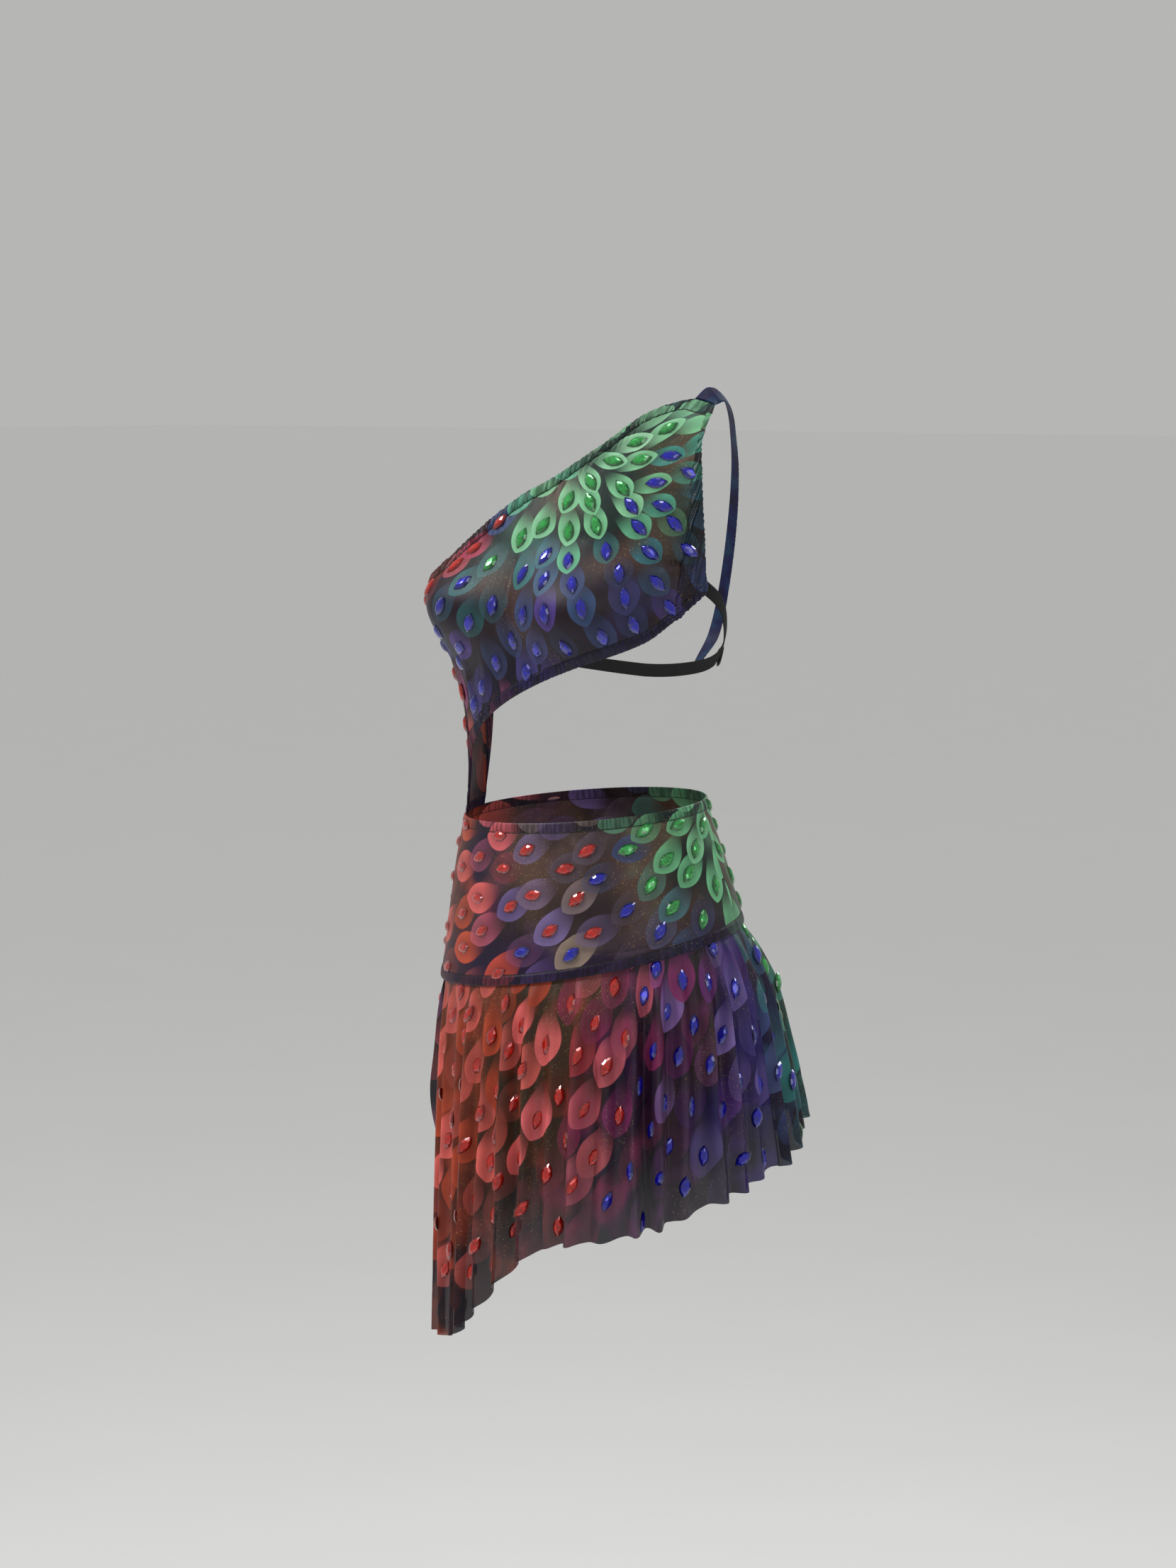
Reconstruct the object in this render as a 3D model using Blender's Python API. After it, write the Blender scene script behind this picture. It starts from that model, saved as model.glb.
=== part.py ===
"""A one-shoulder party dress of stretch mesh: a sash bodice, a waist cut-out and a gathered skirt.

Metres, +Z up. The front faces -Y and the wearer's left is +X. Shapes are worked out on a general figure
whose own origin is the middle of the waist. The dress hangs from the empty strap_rest, which puts the place
where the strap rests on the left shoulder at the world's origin.
"""

from collections import namedtuple
import math

import bmesh
import bpy
from mathutils import Vector

# Driving sizes
STRAP_REST = Vector((0.131, 0.018, 0.3338))
CLOTH = 0.0012
EASE = 0.0012
SEAM = 0.0003
CASING = 0.009
CASING_RISE = 0.0007
RUCHE = 0.0005

# The general figure: heights are above the waist, and angles run from the front towards the wearer's left
Level = namedtuple("Level", "height half_width half_depth middle_y")
FIGURE = (
    Level(-0.60, 0.158, 0.120, 0.018),
    Level(-0.23, 0.156, 0.120, 0.018),
    Level(-0.18, 0.150, 0.114, 0.018),
    Level(-0.14, 0.143, 0.108, 0.015),
    Level(-0.09, 0.131, 0.099, 0.009),
    Level(-0.045, 0.118, 0.090, 0.004),
    Level(0.00, 0.110, 0.084, 0.000),
    Level(0.05, 0.118, 0.088, -0.002),
    Level(0.10, 0.133, 0.097, -0.002),
    Level(0.15, 0.143, 0.104, 0.000),
    Level(0.20, 0.152, 0.101, 0.004),
    Level(0.25, 0.160, 0.090, 0.009),
    Level(0.30, 0.166, 0.070, 0.013),
    Level(0.34, 0.170, 0.046, 0.016),
    Level(0.365, 0.172, 0.004, 0.018),
)
SHOULDER_SLOPE = 0.25
SLOPE_FROM = 0.18
SLOPE_OVER = 0.175
CUP_MIDDLE = 0.078
CUP_HEIGHT = 0.148
CUP_RADIUS = 0.066
CUP_DEPTH = 0.030
CUP_BRIDGE = 0.55
CUP_SPREAD = 0.15
CUP_FADE = 0.3
ANGLE_STEP = 1.0
HEIGHT_STEP = 0.003

# Edges of the bodice
Edge = namedtuple("Edge", "angle height")
UPPER_EDGE = (
    Edge(-103, 0.150), Edge(-90, 0.150), Edge(-60, 0.160), Edge(-42, 0.172), Edge(-31, 0.188),
    Edge(-24, 0.206), Edge(-7, 0.238), Edge(8, 0.264), Edge(21, 0.302), Edge(30, 0.335),
    Edge(36, 0.349), Edge(43, 0.358), Edge(53, 0.358), Edge(56, 0.326), Edge(61, 0.292),
    Edge(67, 0.250), Edge(72, 0.218), Edge(77, 0.185), Edge(79, 0.174),
)
LOWER_EDGE = (
    Edge(-103, 0.070), Edge(-96, 0.020), Edge(-90, -0.030), Edge(-87, -0.080), Edge(-55.5, -0.080),
    Edge(-52.5, -0.030), Edge(-49, 0.006), Edge(-36, 0.030), Edge(-23, 0.046), Edge(-1, 0.071),
    Edge(25, 0.097), Edge(55, 0.121), Edge(66, 0.138), Edge(73, 0.151), Edge(79, 0.162),
)
BODICE_BACK = -103
BODICE_LEFT = 79
STRIP_BACK = -86
STRIP_FRONT = -54
STRIP_LIFT = 0.004
STRIP_LIFT_FROM = -40
STRIP_LIFT_OVER = 15
STRIP_LIFT_REACH = 0.06
BODICE_ROWS = 10
Span = namedtuple("Span", "start end columns")
BODICE_SPANS = (
    Span(BODICE_BACK, STRIP_BACK, 4), Span(STRIP_BACK, STRIP_FRONT, 6), Span(STRIP_FRONT, -45, 4),
    Span(-45, 30, 13), Span(30, 54, 8), Span(54, BODICE_LEFT, 8),
)

# The yoke's two edges lie in tilted planes, lowest at the wearer's right
WAIST_EDGE = -0.040
WAIST_TILT = 0.012
YOKE_HEM = -0.176
YOKE_TILT = 0.032
TILT_ANGLE = 28
SIDE_SEAMS = (-80, 100)
YOKE_ROWS = 7
YOKE_COLUMNS = 25
HIP_RADIUS = 0.14
CHORD = 0.0005
YOKE_EASE = EASE + CLOTH + SEAM + CHORD

# The gathered skirt
Flare = namedtuple("Flare", "angle hem flare")
FLOUNCE = (
    Flare(-60, -0.556, 0.007), Flare(-51, -0.547, 0.007), Flare(-30, -0.535, 0.009),
    Flare(-12, -0.492, 0.012), Flare(5, -0.441, 0.014), Flare(18, -0.420, 0.016),
    Flare(35, -0.411, 0.018), Flare(60, -0.388, 0.022), Flare(95, -0.356, 0.034),
    Flare(130, -0.336, 0.044), Flare(180, -0.360, 0.055), Flare(230, -0.385, 0.048),
    Flare(265, -0.400, 0.036), Flare(300, -0.410, 0.022),
)
SLIT_FRONT = -51
FLOUNCE_SEAM = 96
SLIT_BACK = 296
SLIT_OPENING = 30
SLIT_OPENS_FROM = 0.75
FRONT_WAVES = 16
BACK_WAVES = 19
WAVE_DEPTH = 0.0080
GATHER_LENGTH = 0.045
TUCK = 0.006
FOLD_START = 0.002
FOLD_UNEVEN = 0.28
FOLD_TURN = 2.4
FOLD_LEAD = 0.8
FOLD_EARLY = 0.75
FOLD_STAND = 0.7
FLARE_SHAPE = 0.8
FOLD_STEP = 0.02
FALL_STEP = 0.002
HIP_LEVEL = -0.20
FLOUNCE_GAP = 0.2
FOLD_PHASES = (-0.21, 0.0, 0.21, 0.42, 0.58)
CREST = 1
HEM_SHARES = (0.09, 0.24, 0.40, 0.55, 0.70, 0.85, 1.0)

# Navette stones
STONE_LENGTH = 0.018
STONE_WIDTH = 0.0088
STONE_HEIGHT = 0.0030
STONE_TABLE = 0.0070
STONE_MARGIN = 0.005
STONE_CLEARANCE = 0.0004
STONE_SHARES = (0.58, 0.42)

# Shoulder strap and back band
Station = namedtuple("Station", "x y z width")
STRAP_ROUTE = (
    Station(0.1295, 0.0125, 0.3322, 0.0195), Station(0.1310, 0.0180, 0.3338, 0.019),
    Station(0.1312, 0.0250, 0.3326, 0.018), Station(0.1300, 0.0350, 0.3270, 0.017),
    Station(0.1265, 0.0465, 0.3165, 0.015), Station(0.1200, 0.0600, 0.3005, 0.014),
    Station(0.1090, 0.0800, 0.2680, 0.012), Station(0.0960, 0.0955, 0.2200, 0.012),
    Station(0.0840, 0.1010, 0.1600, 0.012), Station(0.0750, 0.0975, 0.1150, 0.012),
)
STRAP_THICKNESS = 0.0016
STRAP_ACROSS = (-1.0, -0.4, 0.4, 1.0)
STRAP_ROLL = 0.0008
STRAP_FROM = 0.358
STRAP_ANGLES = (53, 43)
STRAP_END_ANGLES = (144.5, 150.5)
NECK_SIDE = (0.06, 0.018)
NECK_TOP = 0.25
NECK_BELOW = 0.05
BAND_WIDTH = 0.012
BAND_COLUMNS = 33
BACK_RADIUS = 0.14
BAND_HEIGHT = (
    Edge(79, 0.168), Edge(95, 0.150), Edge(110, 0.124), Edge(126, 0.100), Edge(150, 0.085), Edge(180, 0.078),
    Edge(232, 0.090), Edge(257, 0.105),
)
SLIDER_ANGLE = 126
SLIDER_BEND_RADIUS = 0.125
SLIDER_HALF_WIDTH = 0.0085
SLIDER_HALF_LENGTH = 0.0055
SLIDER_THICKNESS = 0.0018


def read_curve(rows, at, column):
    """The smooth value of one column of a table at a place between its rows."""
    places = [row[0] for row in rows]
    values = [getattr(row, column) for row in rows]
    at = min(max(at, places[0]), places[-1])
    right = next(k for k in range(1, len(places)) if at <= places[k])
    left = right - 1
    span = places[right] - places[left]
    share = (at - places[left]) / span

    def steepness(k):
        before, after = max(k - 1, 0), min(k + 1, len(places) - 1)
        return (values[after] - values[before]) / (places[after] - places[before]) * span

    rise = values[right] - values[left]
    start, end = steepness(left), steepness(right)
    if start * rise <= 0:
        start = 0.0
    if end * rise <= 0:
        end = 0.0
    start = math.copysign(min(abs(start), 3 * abs(rise)), rise)
    end = math.copysign(min(abs(end), 3 * abs(rise)), rise)
    return (
        values[left] + share * start
        + share ** 2 * (3 * rise - 2 * start - end)
        + share ** 3 * (start + end - 2 * rise)
    )


def ease_in(share):
    """A soft step from 0 to 1."""
    share = min(max(share, 0.0), 1.0)
    return share * share * (3 - 2 * share)


def spread(first, last, count):
    """Evenly spaced values from first to last, both included."""
    return [first + (last - first) * k / (count - 1) for k in range(count)]


def figure_point(angle, height):
    """A point of the general figure."""
    turn = math.radians(angle)
    x = read_curve(FIGURE, height, "half_width") * math.sin(turn)
    depth = read_curve(FIGURE, height, "half_depth")
    y = read_curve(FIGURE, height, "middle_y") - depth * math.cos(turn)
    drop = SHOULDER_SLOPE * abs(x) * ease_in((height - SLOPE_FROM) / SLOPE_OVER)
    z = height - drop
    if math.cos(turn) > 0:
        beside = abs(x) - CUP_MIDDLE
        beside *= 1.0 if beside > 0 else CUP_BRIDGE
        away = math.hypot(beside, z - CUP_HEIGHT) / CUP_RADIUS
        bulge = CUP_DEPTH * (math.cos(math.pi * min(away, 1.0)) + 1) / 2
        bulge *= ease_in(math.cos(turn) / CUP_FADE)
        y -= bulge
        x += CUP_SPREAD * bulge * math.copysign(1, x)
    return Vector((x, y, z))


def facing(shape, across, up, step_across, step_up):
    """The outward direction of a surface given as a function of two places."""
    tangent = shape(across + step_across, up) - shape(across - step_across, up)
    rise = shape(across, up + step_up) - shape(across, up - step_up)
    return tangent.cross(rise).normalized()


def figure_facing(angle, height):
    """The figure's outward direction."""
    return facing(figure_point, angle, height, ANGLE_STEP, HEIGHT_STEP)


def waist_edge(angle):
    """The height of the yoke's top edge."""
    return WAIST_EDGE + WAIST_TILT * math.sin(math.radians(angle - TILT_ANGLE))


def yoke_hem(angle):
    """The height of the yoke's turned hem."""
    return YOKE_HEM + YOKE_TILT * math.sin(math.radians(angle - TILT_ANGLE))


def stone_points(columns, thickness, column, cell, share):
    """The points of one stone, on the column between two rows: tips, table ends and both sides."""
    def outer(i, j):
        point, normal = columns[i][j]
        return point + normal * thickness

    low, high = outer(column, cell), outer(column, cell + 1)
    length = (high - low).length
    normal = (columns[column][cell][1] + columns[column][cell + 1][1]).normalized()

    def along(distance):
        return low.lerp(high, share + distance / length)

    def aside(neighbour):
        other = outer(neighbour, cell).lerp(outer(neighbour, cell + 1), share)
        middle = along(0.0)
        return middle.lerp(other, STONE_WIDTH / 2 / (other - middle).length)

    return (
        along(-STONE_LENGTH / 2), along(STONE_LENGTH / 2),
        along(-STONE_TABLE / 2) + normal * STONE_HEIGHT, along(STONE_TABLE / 2) + normal * STONE_HEIGHT,
        aside(column - 1), aside(column + 1),
    )


def make_wall(name, colour, columns, thickness=CLOTH, stones=(), rise=None):
    """One closed cloth wall over a grid of places, with stones raised in its outer side."""
    body = bmesh.new()
    count, rows = len(columns), len(columns[0])

    def new(point):
        return body.verts.new(point)

    outer = [
        [new(p + n * (thickness + (rise(i, j) if rise else 0.0))) for j, (p, n) in enumerate(column)]
        for i, column in enumerate(columns)
    ]
    inner = [[new(p) for p, _ in column] for column in columns]
    raised = {
        (i, j): [new(p) for p in stone_points(columns, thickness, i, j, share)]
        for (i, j), share in dict(stones).items()
    }

    def face(*corners):
        body.faces.new(corners)

    for i in range(count - 1):
        for j in range(rows - 1):
            a, b = outer[i][j], outer[i + 1][j]
            c, d = outer[i + 1][j + 1], outer[i][j + 1]
            if (i, j) in raised:
                low, high, table_low, table_high, _, side = raised[i, j]
                for corners in (
                    (side, low, a), (side, a, b), (side, b, c), (side, c, d), (side, d, high),
                    (low, side, table_low), (side, table_high, table_low), (side, high, table_high),
                ):
                    face(*corners)
            elif (i + 1, j) in raised:
                low, high, table_low, table_high, side, _ = raised[i + 1, j]
                for corners in (
                    (side, d, a), (side, a, b), (side, b, low), (side, high, c), (side, c, d),
                    (side, low, table_low), (side, table_low, table_high), (side, table_high, high),
                ):
                    face(*corners)
            else:
                face(a, b, c)
                face(a, c, d)
            a, b = inner[i][j], inner[i + 1][j]
            c, d = inner[i + 1][j + 1], inner[i][j + 1]
            face(a, c, b)
            face(a, d, c)
    for i in range(count - 1):
        face(outer[i + 1][0], outer[i][0], inner[i][0], inner[i + 1][0])
        face(outer[i][-1], outer[i + 1][-1], inner[i + 1][-1], inner[i][-1])
    for j in range(rows - 1):
        face(outer[0][j], outer[0][j + 1], inner[0][j + 1], inner[0][j])
        face(outer[-1][j + 1], outer[-1][j], inner[-1][j], inner[-1][j + 1])
    mesh = bpy.data.meshes.new(name)
    body.to_mesh(mesh)
    body.free()
    mesh.shade_smooth()
    mesh.set_sharp_from_angle(angle=math.radians(40))
    return add_object(name, mesh, colour)


def add_object(name, mesh, colour):
    """Links a mesh as a named object with its own material."""
    material = bpy.data.materials.new(name)
    material.use_nodes = True
    shader = material.node_tree.nodes["Principled BSDF"]
    shader.inputs["Base Color"].default_value = (*colour, 1.0)
    shader.inputs["Roughness"].default_value = 0.5
    shader.inputs["Metallic"].default_value = 0.0
    mesh.materials.append(material)
    part = bpy.data.objects.new(name, mesh)
    part.parent = bpy.data.objects["strap_rest"]
    bpy.context.scene.collection.objects.link(part)
    return part


def rows_between(low, high, count):
    """Heights from one edge to the other, with a casing's width kept at each edge where there is room."""
    tall = high - low
    band = min(CASING, tall / 4)
    return [low, *spread(low + band, high - band, count - 2), high]


def fits_stone(columns, column, cell):
    """Whether a stone has room on this column between these two rows."""
    here = columns[column]
    if (here[cell + 1][0] - here[cell][0]).length < STONE_LENGTH + STONE_MARGIN / 2:
        return False
    for neighbour in (columns[column - 1], columns[column + 1]):
        if (neighbour[cell][0] - here[cell][0]).length < STONE_WIDTH / 2 + STONE_CLEARANCE:
            return False
        if (neighbour[cell + 1][0] - here[cell + 1][0]).length < STONE_WIDTH / 2 + STONE_CLEARANCE:
            return False
    return True


def make_bodice():
    """The sash from the right of the waist to the left shoulder."""
    rows = BODICE_ROWS
    angles = [BODICE_BACK]
    for span in BODICE_SPANS:
        angles.extend(spread(*span)[1:])

    def place(angle, height):
        point = figure_point(angle, height)
        near_side = ease_in((STRIP_LIFT_FROM - angle) / STRIP_LIFT_OVER)
        lift = STRIP_LIFT * near_side * ease_in(1 - abs(height) / STRIP_LIFT_REACH)
        return point + figure_facing(angle, height) * (EASE + lift)

    columns = []
    for angle in angles:
        top = read_curve(UPPER_EDGE, angle, "height")
        bottom = max(read_curve(LOWER_EDGE, angle, "height"), waist_edge(angle) + SEAM)
        columns.append(
            [(place(angle, h), figure_facing(angle, h)) for h in rows_between(bottom, top, rows)]
        )
    stones = {
        (i, j): 0.5
        for i in range(1, len(columns) - 1)
        for j in range(1, rows - 2)
        if (i + j) % 2 == 0 and fits_stone(columns, i, j)
    }

    def rise(i, j):
        if j in (0, rows - 1):
            return CASING_RISE + RUCHE * (i % 2)
        return 0.0

    make_wall("bodice_front", (0.10, 0.12, 0.35), columns, stones=stones, rise=rise)


def make_yoke():
    """The fitted hip band, front and back, over the gathered skirt's top."""
    rows = YOKE_ROWS
    front, back = SIDE_SEAMS
    gap = math.degrees(SEAM / 2 / HIP_RADIUS)
    spans = (("yoke_front", front + gap, back - gap), ("yoke_back", back + gap, front + 360 - gap))
    for name, start, end in spans:
        columns = []
        for angle in spread(start, end, YOKE_COLUMNS):
            heights = rows_between(yoke_hem(angle), waist_edge(angle), rows)
            columns.append([
                (figure_point(angle, h) + figure_facing(angle, h) * YOKE_EASE, figure_facing(angle, h))
                for h in heights
            ])
        stones = {
            (i, j): 0.5
            for i in range(2, len(columns) - 1, 2)
            for j in range(1, rows - 2)
            if (i // 2 + j) % 2 == 0 and fits_stone(columns, i, j)
        }

        def rise(i, j):
            return CASING_RISE if j in (0, rows - 1) else 0.0

        make_wall(name, (0.35, 0.12, 0.22), columns, stones=stones, rise=rise)


def skirt_place(angle, wave, below):
    """A place of the gathered skirt: an angle, its place along the folds and how far under the yoke's hem."""
    seam = yoke_hem(angle)
    hip = figure_point(angle, max(seam - below, HIP_LEVEL))
    out = figure_facing(angle, HIP_LEVEL)
    out = Vector((out.x, out.y, 0)).normalized()
    fall = max(below - FOLD_START, 0.0)
    length = seam - read_curve(FLOUNCE, angle, "hem")
    number = round(wave)
    uneven = 1 + FOLD_UNEVEN * math.sin(FOLD_TURN * number + FOLD_LEAD)
    gather = 1 - math.exp(-fall / GATHER_LENGTH)
    depth = WAVE_DEPTH * uneven * gather * (FOLD_EARLY + (1 - FOLD_EARLY) * fall / length)
    flare = read_curve(FLOUNCE, angle, "flare") * (fall / length) ** FLARE_SHAPE + FOLD_STAND * depth
    ripple = depth * math.cos(2 * math.pi * wave)
    point = hip + out * (EASE + flare + ripple)
    return Vector((point.x, point.y, seam - below))


def make_flounce(name, colour, start, end, waves, slit_at_end):
    """One length of the gathered skirt, in uneven folds that open towards the hem."""
    phases = [k + phase for k in range(waves) for phase in FOLD_PHASES] + [waves + FOLD_PHASES[0]]
    first, last = phases[0], phases[-1]
    columns = []
    for wave in phases:
        share = (wave - first) / (last - first)
        column = []
        top_angle = start + (end - start) * share
        angle = top_angle
        length = yoke_hem(angle) - read_curve(FLOUNCE, angle, "hem")
        for below in (-TUCK, FOLD_START, *(length * part for part in HEM_SHARES)):
            if slit_at_end:
                near_slit = ease_in((share - SLIT_OPENS_FROM) / (1 - SLIT_OPENS_FROM))
                opening = SLIT_OPENING * near_slit * max(below, 0) / length
                angle = top_angle - opening

            def shape(w, b, angle=angle, wave=wave):
                turn = (w - wave) * (end - start) / (last - first)
                return skirt_place(angle + turn, w, b)

            point = shape(wave, below)
            normal = facing(lambda w, fall: shape(w, -fall), wave, -below, FOLD_STEP, FALL_STEP)
            column.append((point, normal))
        column.reverse()
        columns.append(column)
    cells = len(HEM_SHARES)
    stones = {}
    for k in range(waves):
        for cell in range(cells):
            i = k * len(FOLD_PHASES) + CREST
            share = STONE_SHARES[k % 2]
            if fits_stone(columns, i, cell):
                stones[i, cell] = share
    make_wall(name, colour, columns, stones=stones)


def shares_between(first, last):
    """The four places across the strap."""
    return [first + (last - first) * (t + 1) / 2 for t in STRAP_ACROSS]


def make_strap():
    """The rolled strap over the left shoulder and down the back."""
    route = [Vector((s.x, s.y, s.z)) for s in STRAP_ROUTE]
    columns = []
    for k, station in enumerate(STRAP_ROUTE):
        before, after = route[max(k - 1, 0)], route[min(k + 1, len(route) - 1)]
        ahead = (after - before).normalized()
        centre = Vector((*NECK_SIDE, min(route[k].z - NECK_BELOW, NECK_TOP)))
        out = route[k] - centre
        out = (out - ahead * out.dot(ahead)).normalized()
        side = out.cross(ahead)
        half = side * (station.width / 2)
        columns.append([(route[k] + half * t, out) for t in STRAP_ACROSS])
    height = STRAP_FROM + SEAM
    columns.insert(0, [
        (figure_point(a, height) + figure_facing(a, height) * EASE, figure_facing(a, height))
        for a in shares_between(*STRAP_ANGLES)
    ])
    columns.append([
        (band_place(a, BAND_WIDTH / 2 + SEAM, EASE), figure_facing(a, read_curve(BAND_HEIGHT, a, "height")))
        for a in shares_between(*STRAP_END_ANGLES)
    ])

    def rise(i, j):
        return STRAP_ROLL if j in (1, 2) else 0.0

    make_wall("shoulder_strap", (0.02, 0.02, 0.06), columns, thickness=STRAP_THICKNESS, rise=rise)


def band_place(angle, across, offset):
    """A place on the back band: an angle, a distance above its middle and one out of the figure."""
    height = read_curve(BAND_HEIGHT, angle, "height") + across
    return figure_point(angle, height) + figure_facing(angle, height) * offset


def make_band():
    """The elastic band from the left underarm round the back to the bodice's back edge, and its slider."""
    gap = math.degrees(SEAM / BACK_RADIUS)
    angles = spread(BODICE_LEFT + gap, BODICE_BACK + 360 - gap, BAND_COLUMNS)
    columns = [
        [
            (band_place(a, t * BAND_WIDTH / 2, EASE), figure_facing(a, read_curve(BAND_HEIGHT, a, "height")))
            for t in (-1.0, 1.0)
        ]
        for a in angles
    ]
    make_wall("back_band", (0.01, 0.01, 0.012), columns)
    reach = math.degrees(SLIDER_HALF_LENGTH / SLIDER_BEND_RADIUS)
    lift = EASE + CLOTH + SEAM
    columns = [
        [
            (band_place(SLIDER_ANGLE + a, t * SLIDER_HALF_WIDTH, lift),
             figure_facing(SLIDER_ANGLE + a, read_curve(BAND_HEIGHT, SLIDER_ANGLE + a, "height")))
            for t in (-1.0, 0.0, 1.0)
        ]
        for a in (-reach, 0.0, reach)
    ]
    make_wall("strap_slider", (0.015, 0.015, 0.015), columns, thickness=SLIDER_THICKNESS)


def clear_scene():
    """Removes whatever the scene holds."""
    for thing in list(bpy.data.objects):
        bpy.data.objects.remove(thing, do_unlink=True)


def main():
    clear_scene()
    rest = bpy.data.objects.new("strap_rest", None)
    rest.location = -STRAP_REST
    bpy.context.scene.collection.objects.link(rest)
    make_bodice()
    make_strap()
    make_band()
    make_yoke()
    front_seam, back_seam = FLOUNCE_SEAM - FLOUNCE_GAP, FLOUNCE_SEAM + FLOUNCE_GAP
    make_flounce("flounce_front", (0.40, 0.10, 0.12), SLIT_FRONT, front_seam, FRONT_WAVES, False)
    make_flounce("flounce_back", (0.10, 0.10, 0.35), back_seam, SLIT_BACK, BACK_WAVES, True)


main()
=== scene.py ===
"""Looks of a one-shoulder party dress: printed stretch mesh, navette stones, stitching, elastic and a slider.

Metres, +Z up. Shapes are worked out on the general figure that the CAD part also uses, whose own origin is
the middle of the waist, and they are moved to the part's frame when their meshes are made. Angles run in
degrees from the front towards the wearer's left, and heights are above the waist.
"""

from collections.abc import Callable
from dataclasses import dataclass, field
from enum import Enum
import logging
import math

import bmesh
import bpy
import numpy as np
from mathutils import Matrix, Vector


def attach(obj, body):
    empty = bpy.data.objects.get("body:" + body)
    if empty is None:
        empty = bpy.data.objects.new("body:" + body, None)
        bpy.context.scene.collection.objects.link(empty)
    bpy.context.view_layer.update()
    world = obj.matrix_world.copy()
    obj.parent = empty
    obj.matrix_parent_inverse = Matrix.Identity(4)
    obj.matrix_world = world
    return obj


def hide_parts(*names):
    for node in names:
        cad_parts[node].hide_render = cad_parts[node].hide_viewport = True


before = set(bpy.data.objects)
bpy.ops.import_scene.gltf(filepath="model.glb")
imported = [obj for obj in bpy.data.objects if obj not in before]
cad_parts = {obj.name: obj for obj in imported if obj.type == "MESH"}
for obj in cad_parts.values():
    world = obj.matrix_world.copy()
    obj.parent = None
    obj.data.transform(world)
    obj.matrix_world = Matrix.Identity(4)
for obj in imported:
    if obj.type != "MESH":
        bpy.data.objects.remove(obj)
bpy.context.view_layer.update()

STRAP_REST = np.array((0.131, 0.018, 0.3338))
BODY = "root"
EASE = 0.0012
YOKE_EASE = 0.0032
CLOTH = 0.0009
SKIRT_CLOTH = 0.0006
SEAM = 0.0003
CASING = 0.009
CASING_DIP = 0.0004
GIRTH = 0.138
STRETCH = 1.12
SHARP_ANGLE = 55


def ease_in(share: np.ndarray) -> np.ndarray:
    """A soft step from 0 to 1."""
    share = np.clip(share, 0.0, 1.0)
    return share * share * (3 - 2 * share)


def bell(distance: np.ndarray, width: float) -> np.ndarray:
    """A soft bump of height 1 and the given half width."""
    return np.exp(-((distance / width) ** 2))


def unit(vectors: np.ndarray) -> np.ndarray:
    """The vectors at length 1."""
    return vectors / np.maximum(np.linalg.norm(vectors, axis=-1, keepdims=True), 1e-12)


def turned_outwards(points: np.ndarray) -> np.ndarray:
    """The outward directions of a grid of points."""
    return unit(np.cross(np.gradient(points, axis=0), np.gradient(points, axis=1)))


def length_along(points: np.ndarray) -> np.ndarray:
    """How far along a line each of its points is."""
    steps = np.linalg.norm(np.diff(points, axis=0), axis=-1)
    return np.concatenate(([0.0], np.cumsum(steps)))


def length_up(points: np.ndarray) -> np.ndarray:
    """How far up its column each point of a grid is."""
    rise = np.linalg.norm(np.diff(points, axis=1), axis=-1)
    return np.concatenate((np.zeros((len(points), 1)), np.cumsum(rise, axis=1)), axis=1)


def unrolled(across: np.ndarray, up: np.ndarray) -> np.ndarray:
    """Places on the unrolled cloth, from each column's way across and each point's way up."""
    return np.stack((np.broadcast_to(across[:, None], up.shape), up), axis=-1)


def link(name: str, data: bpy.types.ID) -> bpy.types.Object:
    """A new object in the scene, made of a mesh, a light or a camera."""
    piece = bpy.data.objects.new(name, data)
    bpy.context.scene.collection.objects.link(piece)
    return piece


@dataclass(frozen=True)
class Level:
    """One level of the general figure."""

    height: float
    half_width: float
    half_depth: float
    middle_y: float


@dataclass(frozen=True)
class Edge:
    """One place of an edge that runs round the figure."""

    angle: float
    height: float


@dataclass(frozen=True)
class Flare:
    """How far the skirt falls and opens at one angle."""

    angle: float
    hem: float
    flare: float


class Curve:
    """One column of a table, read smoothly between its rows."""

    def __init__(self, rows: tuple, place: str, column: str) -> None:
        """Reads the table's columns.

        Args:
            rows: the table's rows, in order of their place.
            place: the name of the column to look up.
            column: the name of the column to read.
        """
        self.places = np.array([getattr(row, place) for row in rows])
        self.values = np.array([getattr(row, column) for row in rows])
        last = len(rows) - 1
        before = np.maximum(np.arange(last + 1) - 1, 0)
        after = np.minimum(np.arange(last + 1) + 1, last)
        self.steepness = (self.values[after] - self.values[before]) / (
            self.places[after] - self.places[before]
        )

    def __call__(self, at: np.ndarray) -> np.ndarray:
        """The values at some places.

        Args:
            at: the places, in any shape.

        Returns:
            The values there, in the same shape.
        """
        at = np.clip(np.asarray(at, float), self.places[0], self.places[-1])
        right = np.clip(np.searchsorted(self.places, at), 1, len(self.places) - 1)
        left = right - 1
        span = self.places[right] - self.places[left]
        share = (at - self.places[left]) / span
        rise = self.values[right] - self.values[left]
        start = self._limited(self.steepness[left] * span, rise)
        end = self._limited(self.steepness[right] * span, rise)
        return (
            self.values[left] + share * start
            + share ** 2 * (3 * rise - 2 * start - end)
            + share ** 3 * (start + end - 2 * rise)
        )

    @staticmethod
    def _limited(slope: np.ndarray, rise: np.ndarray) -> np.ndarray:
        """A slope that can't carry the curve past its rows."""
        slope = np.where(slope * rise <= 0, 0.0, slope)
        return np.copysign(np.minimum(np.abs(slope), 3 * np.abs(rise)), rise)


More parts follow.
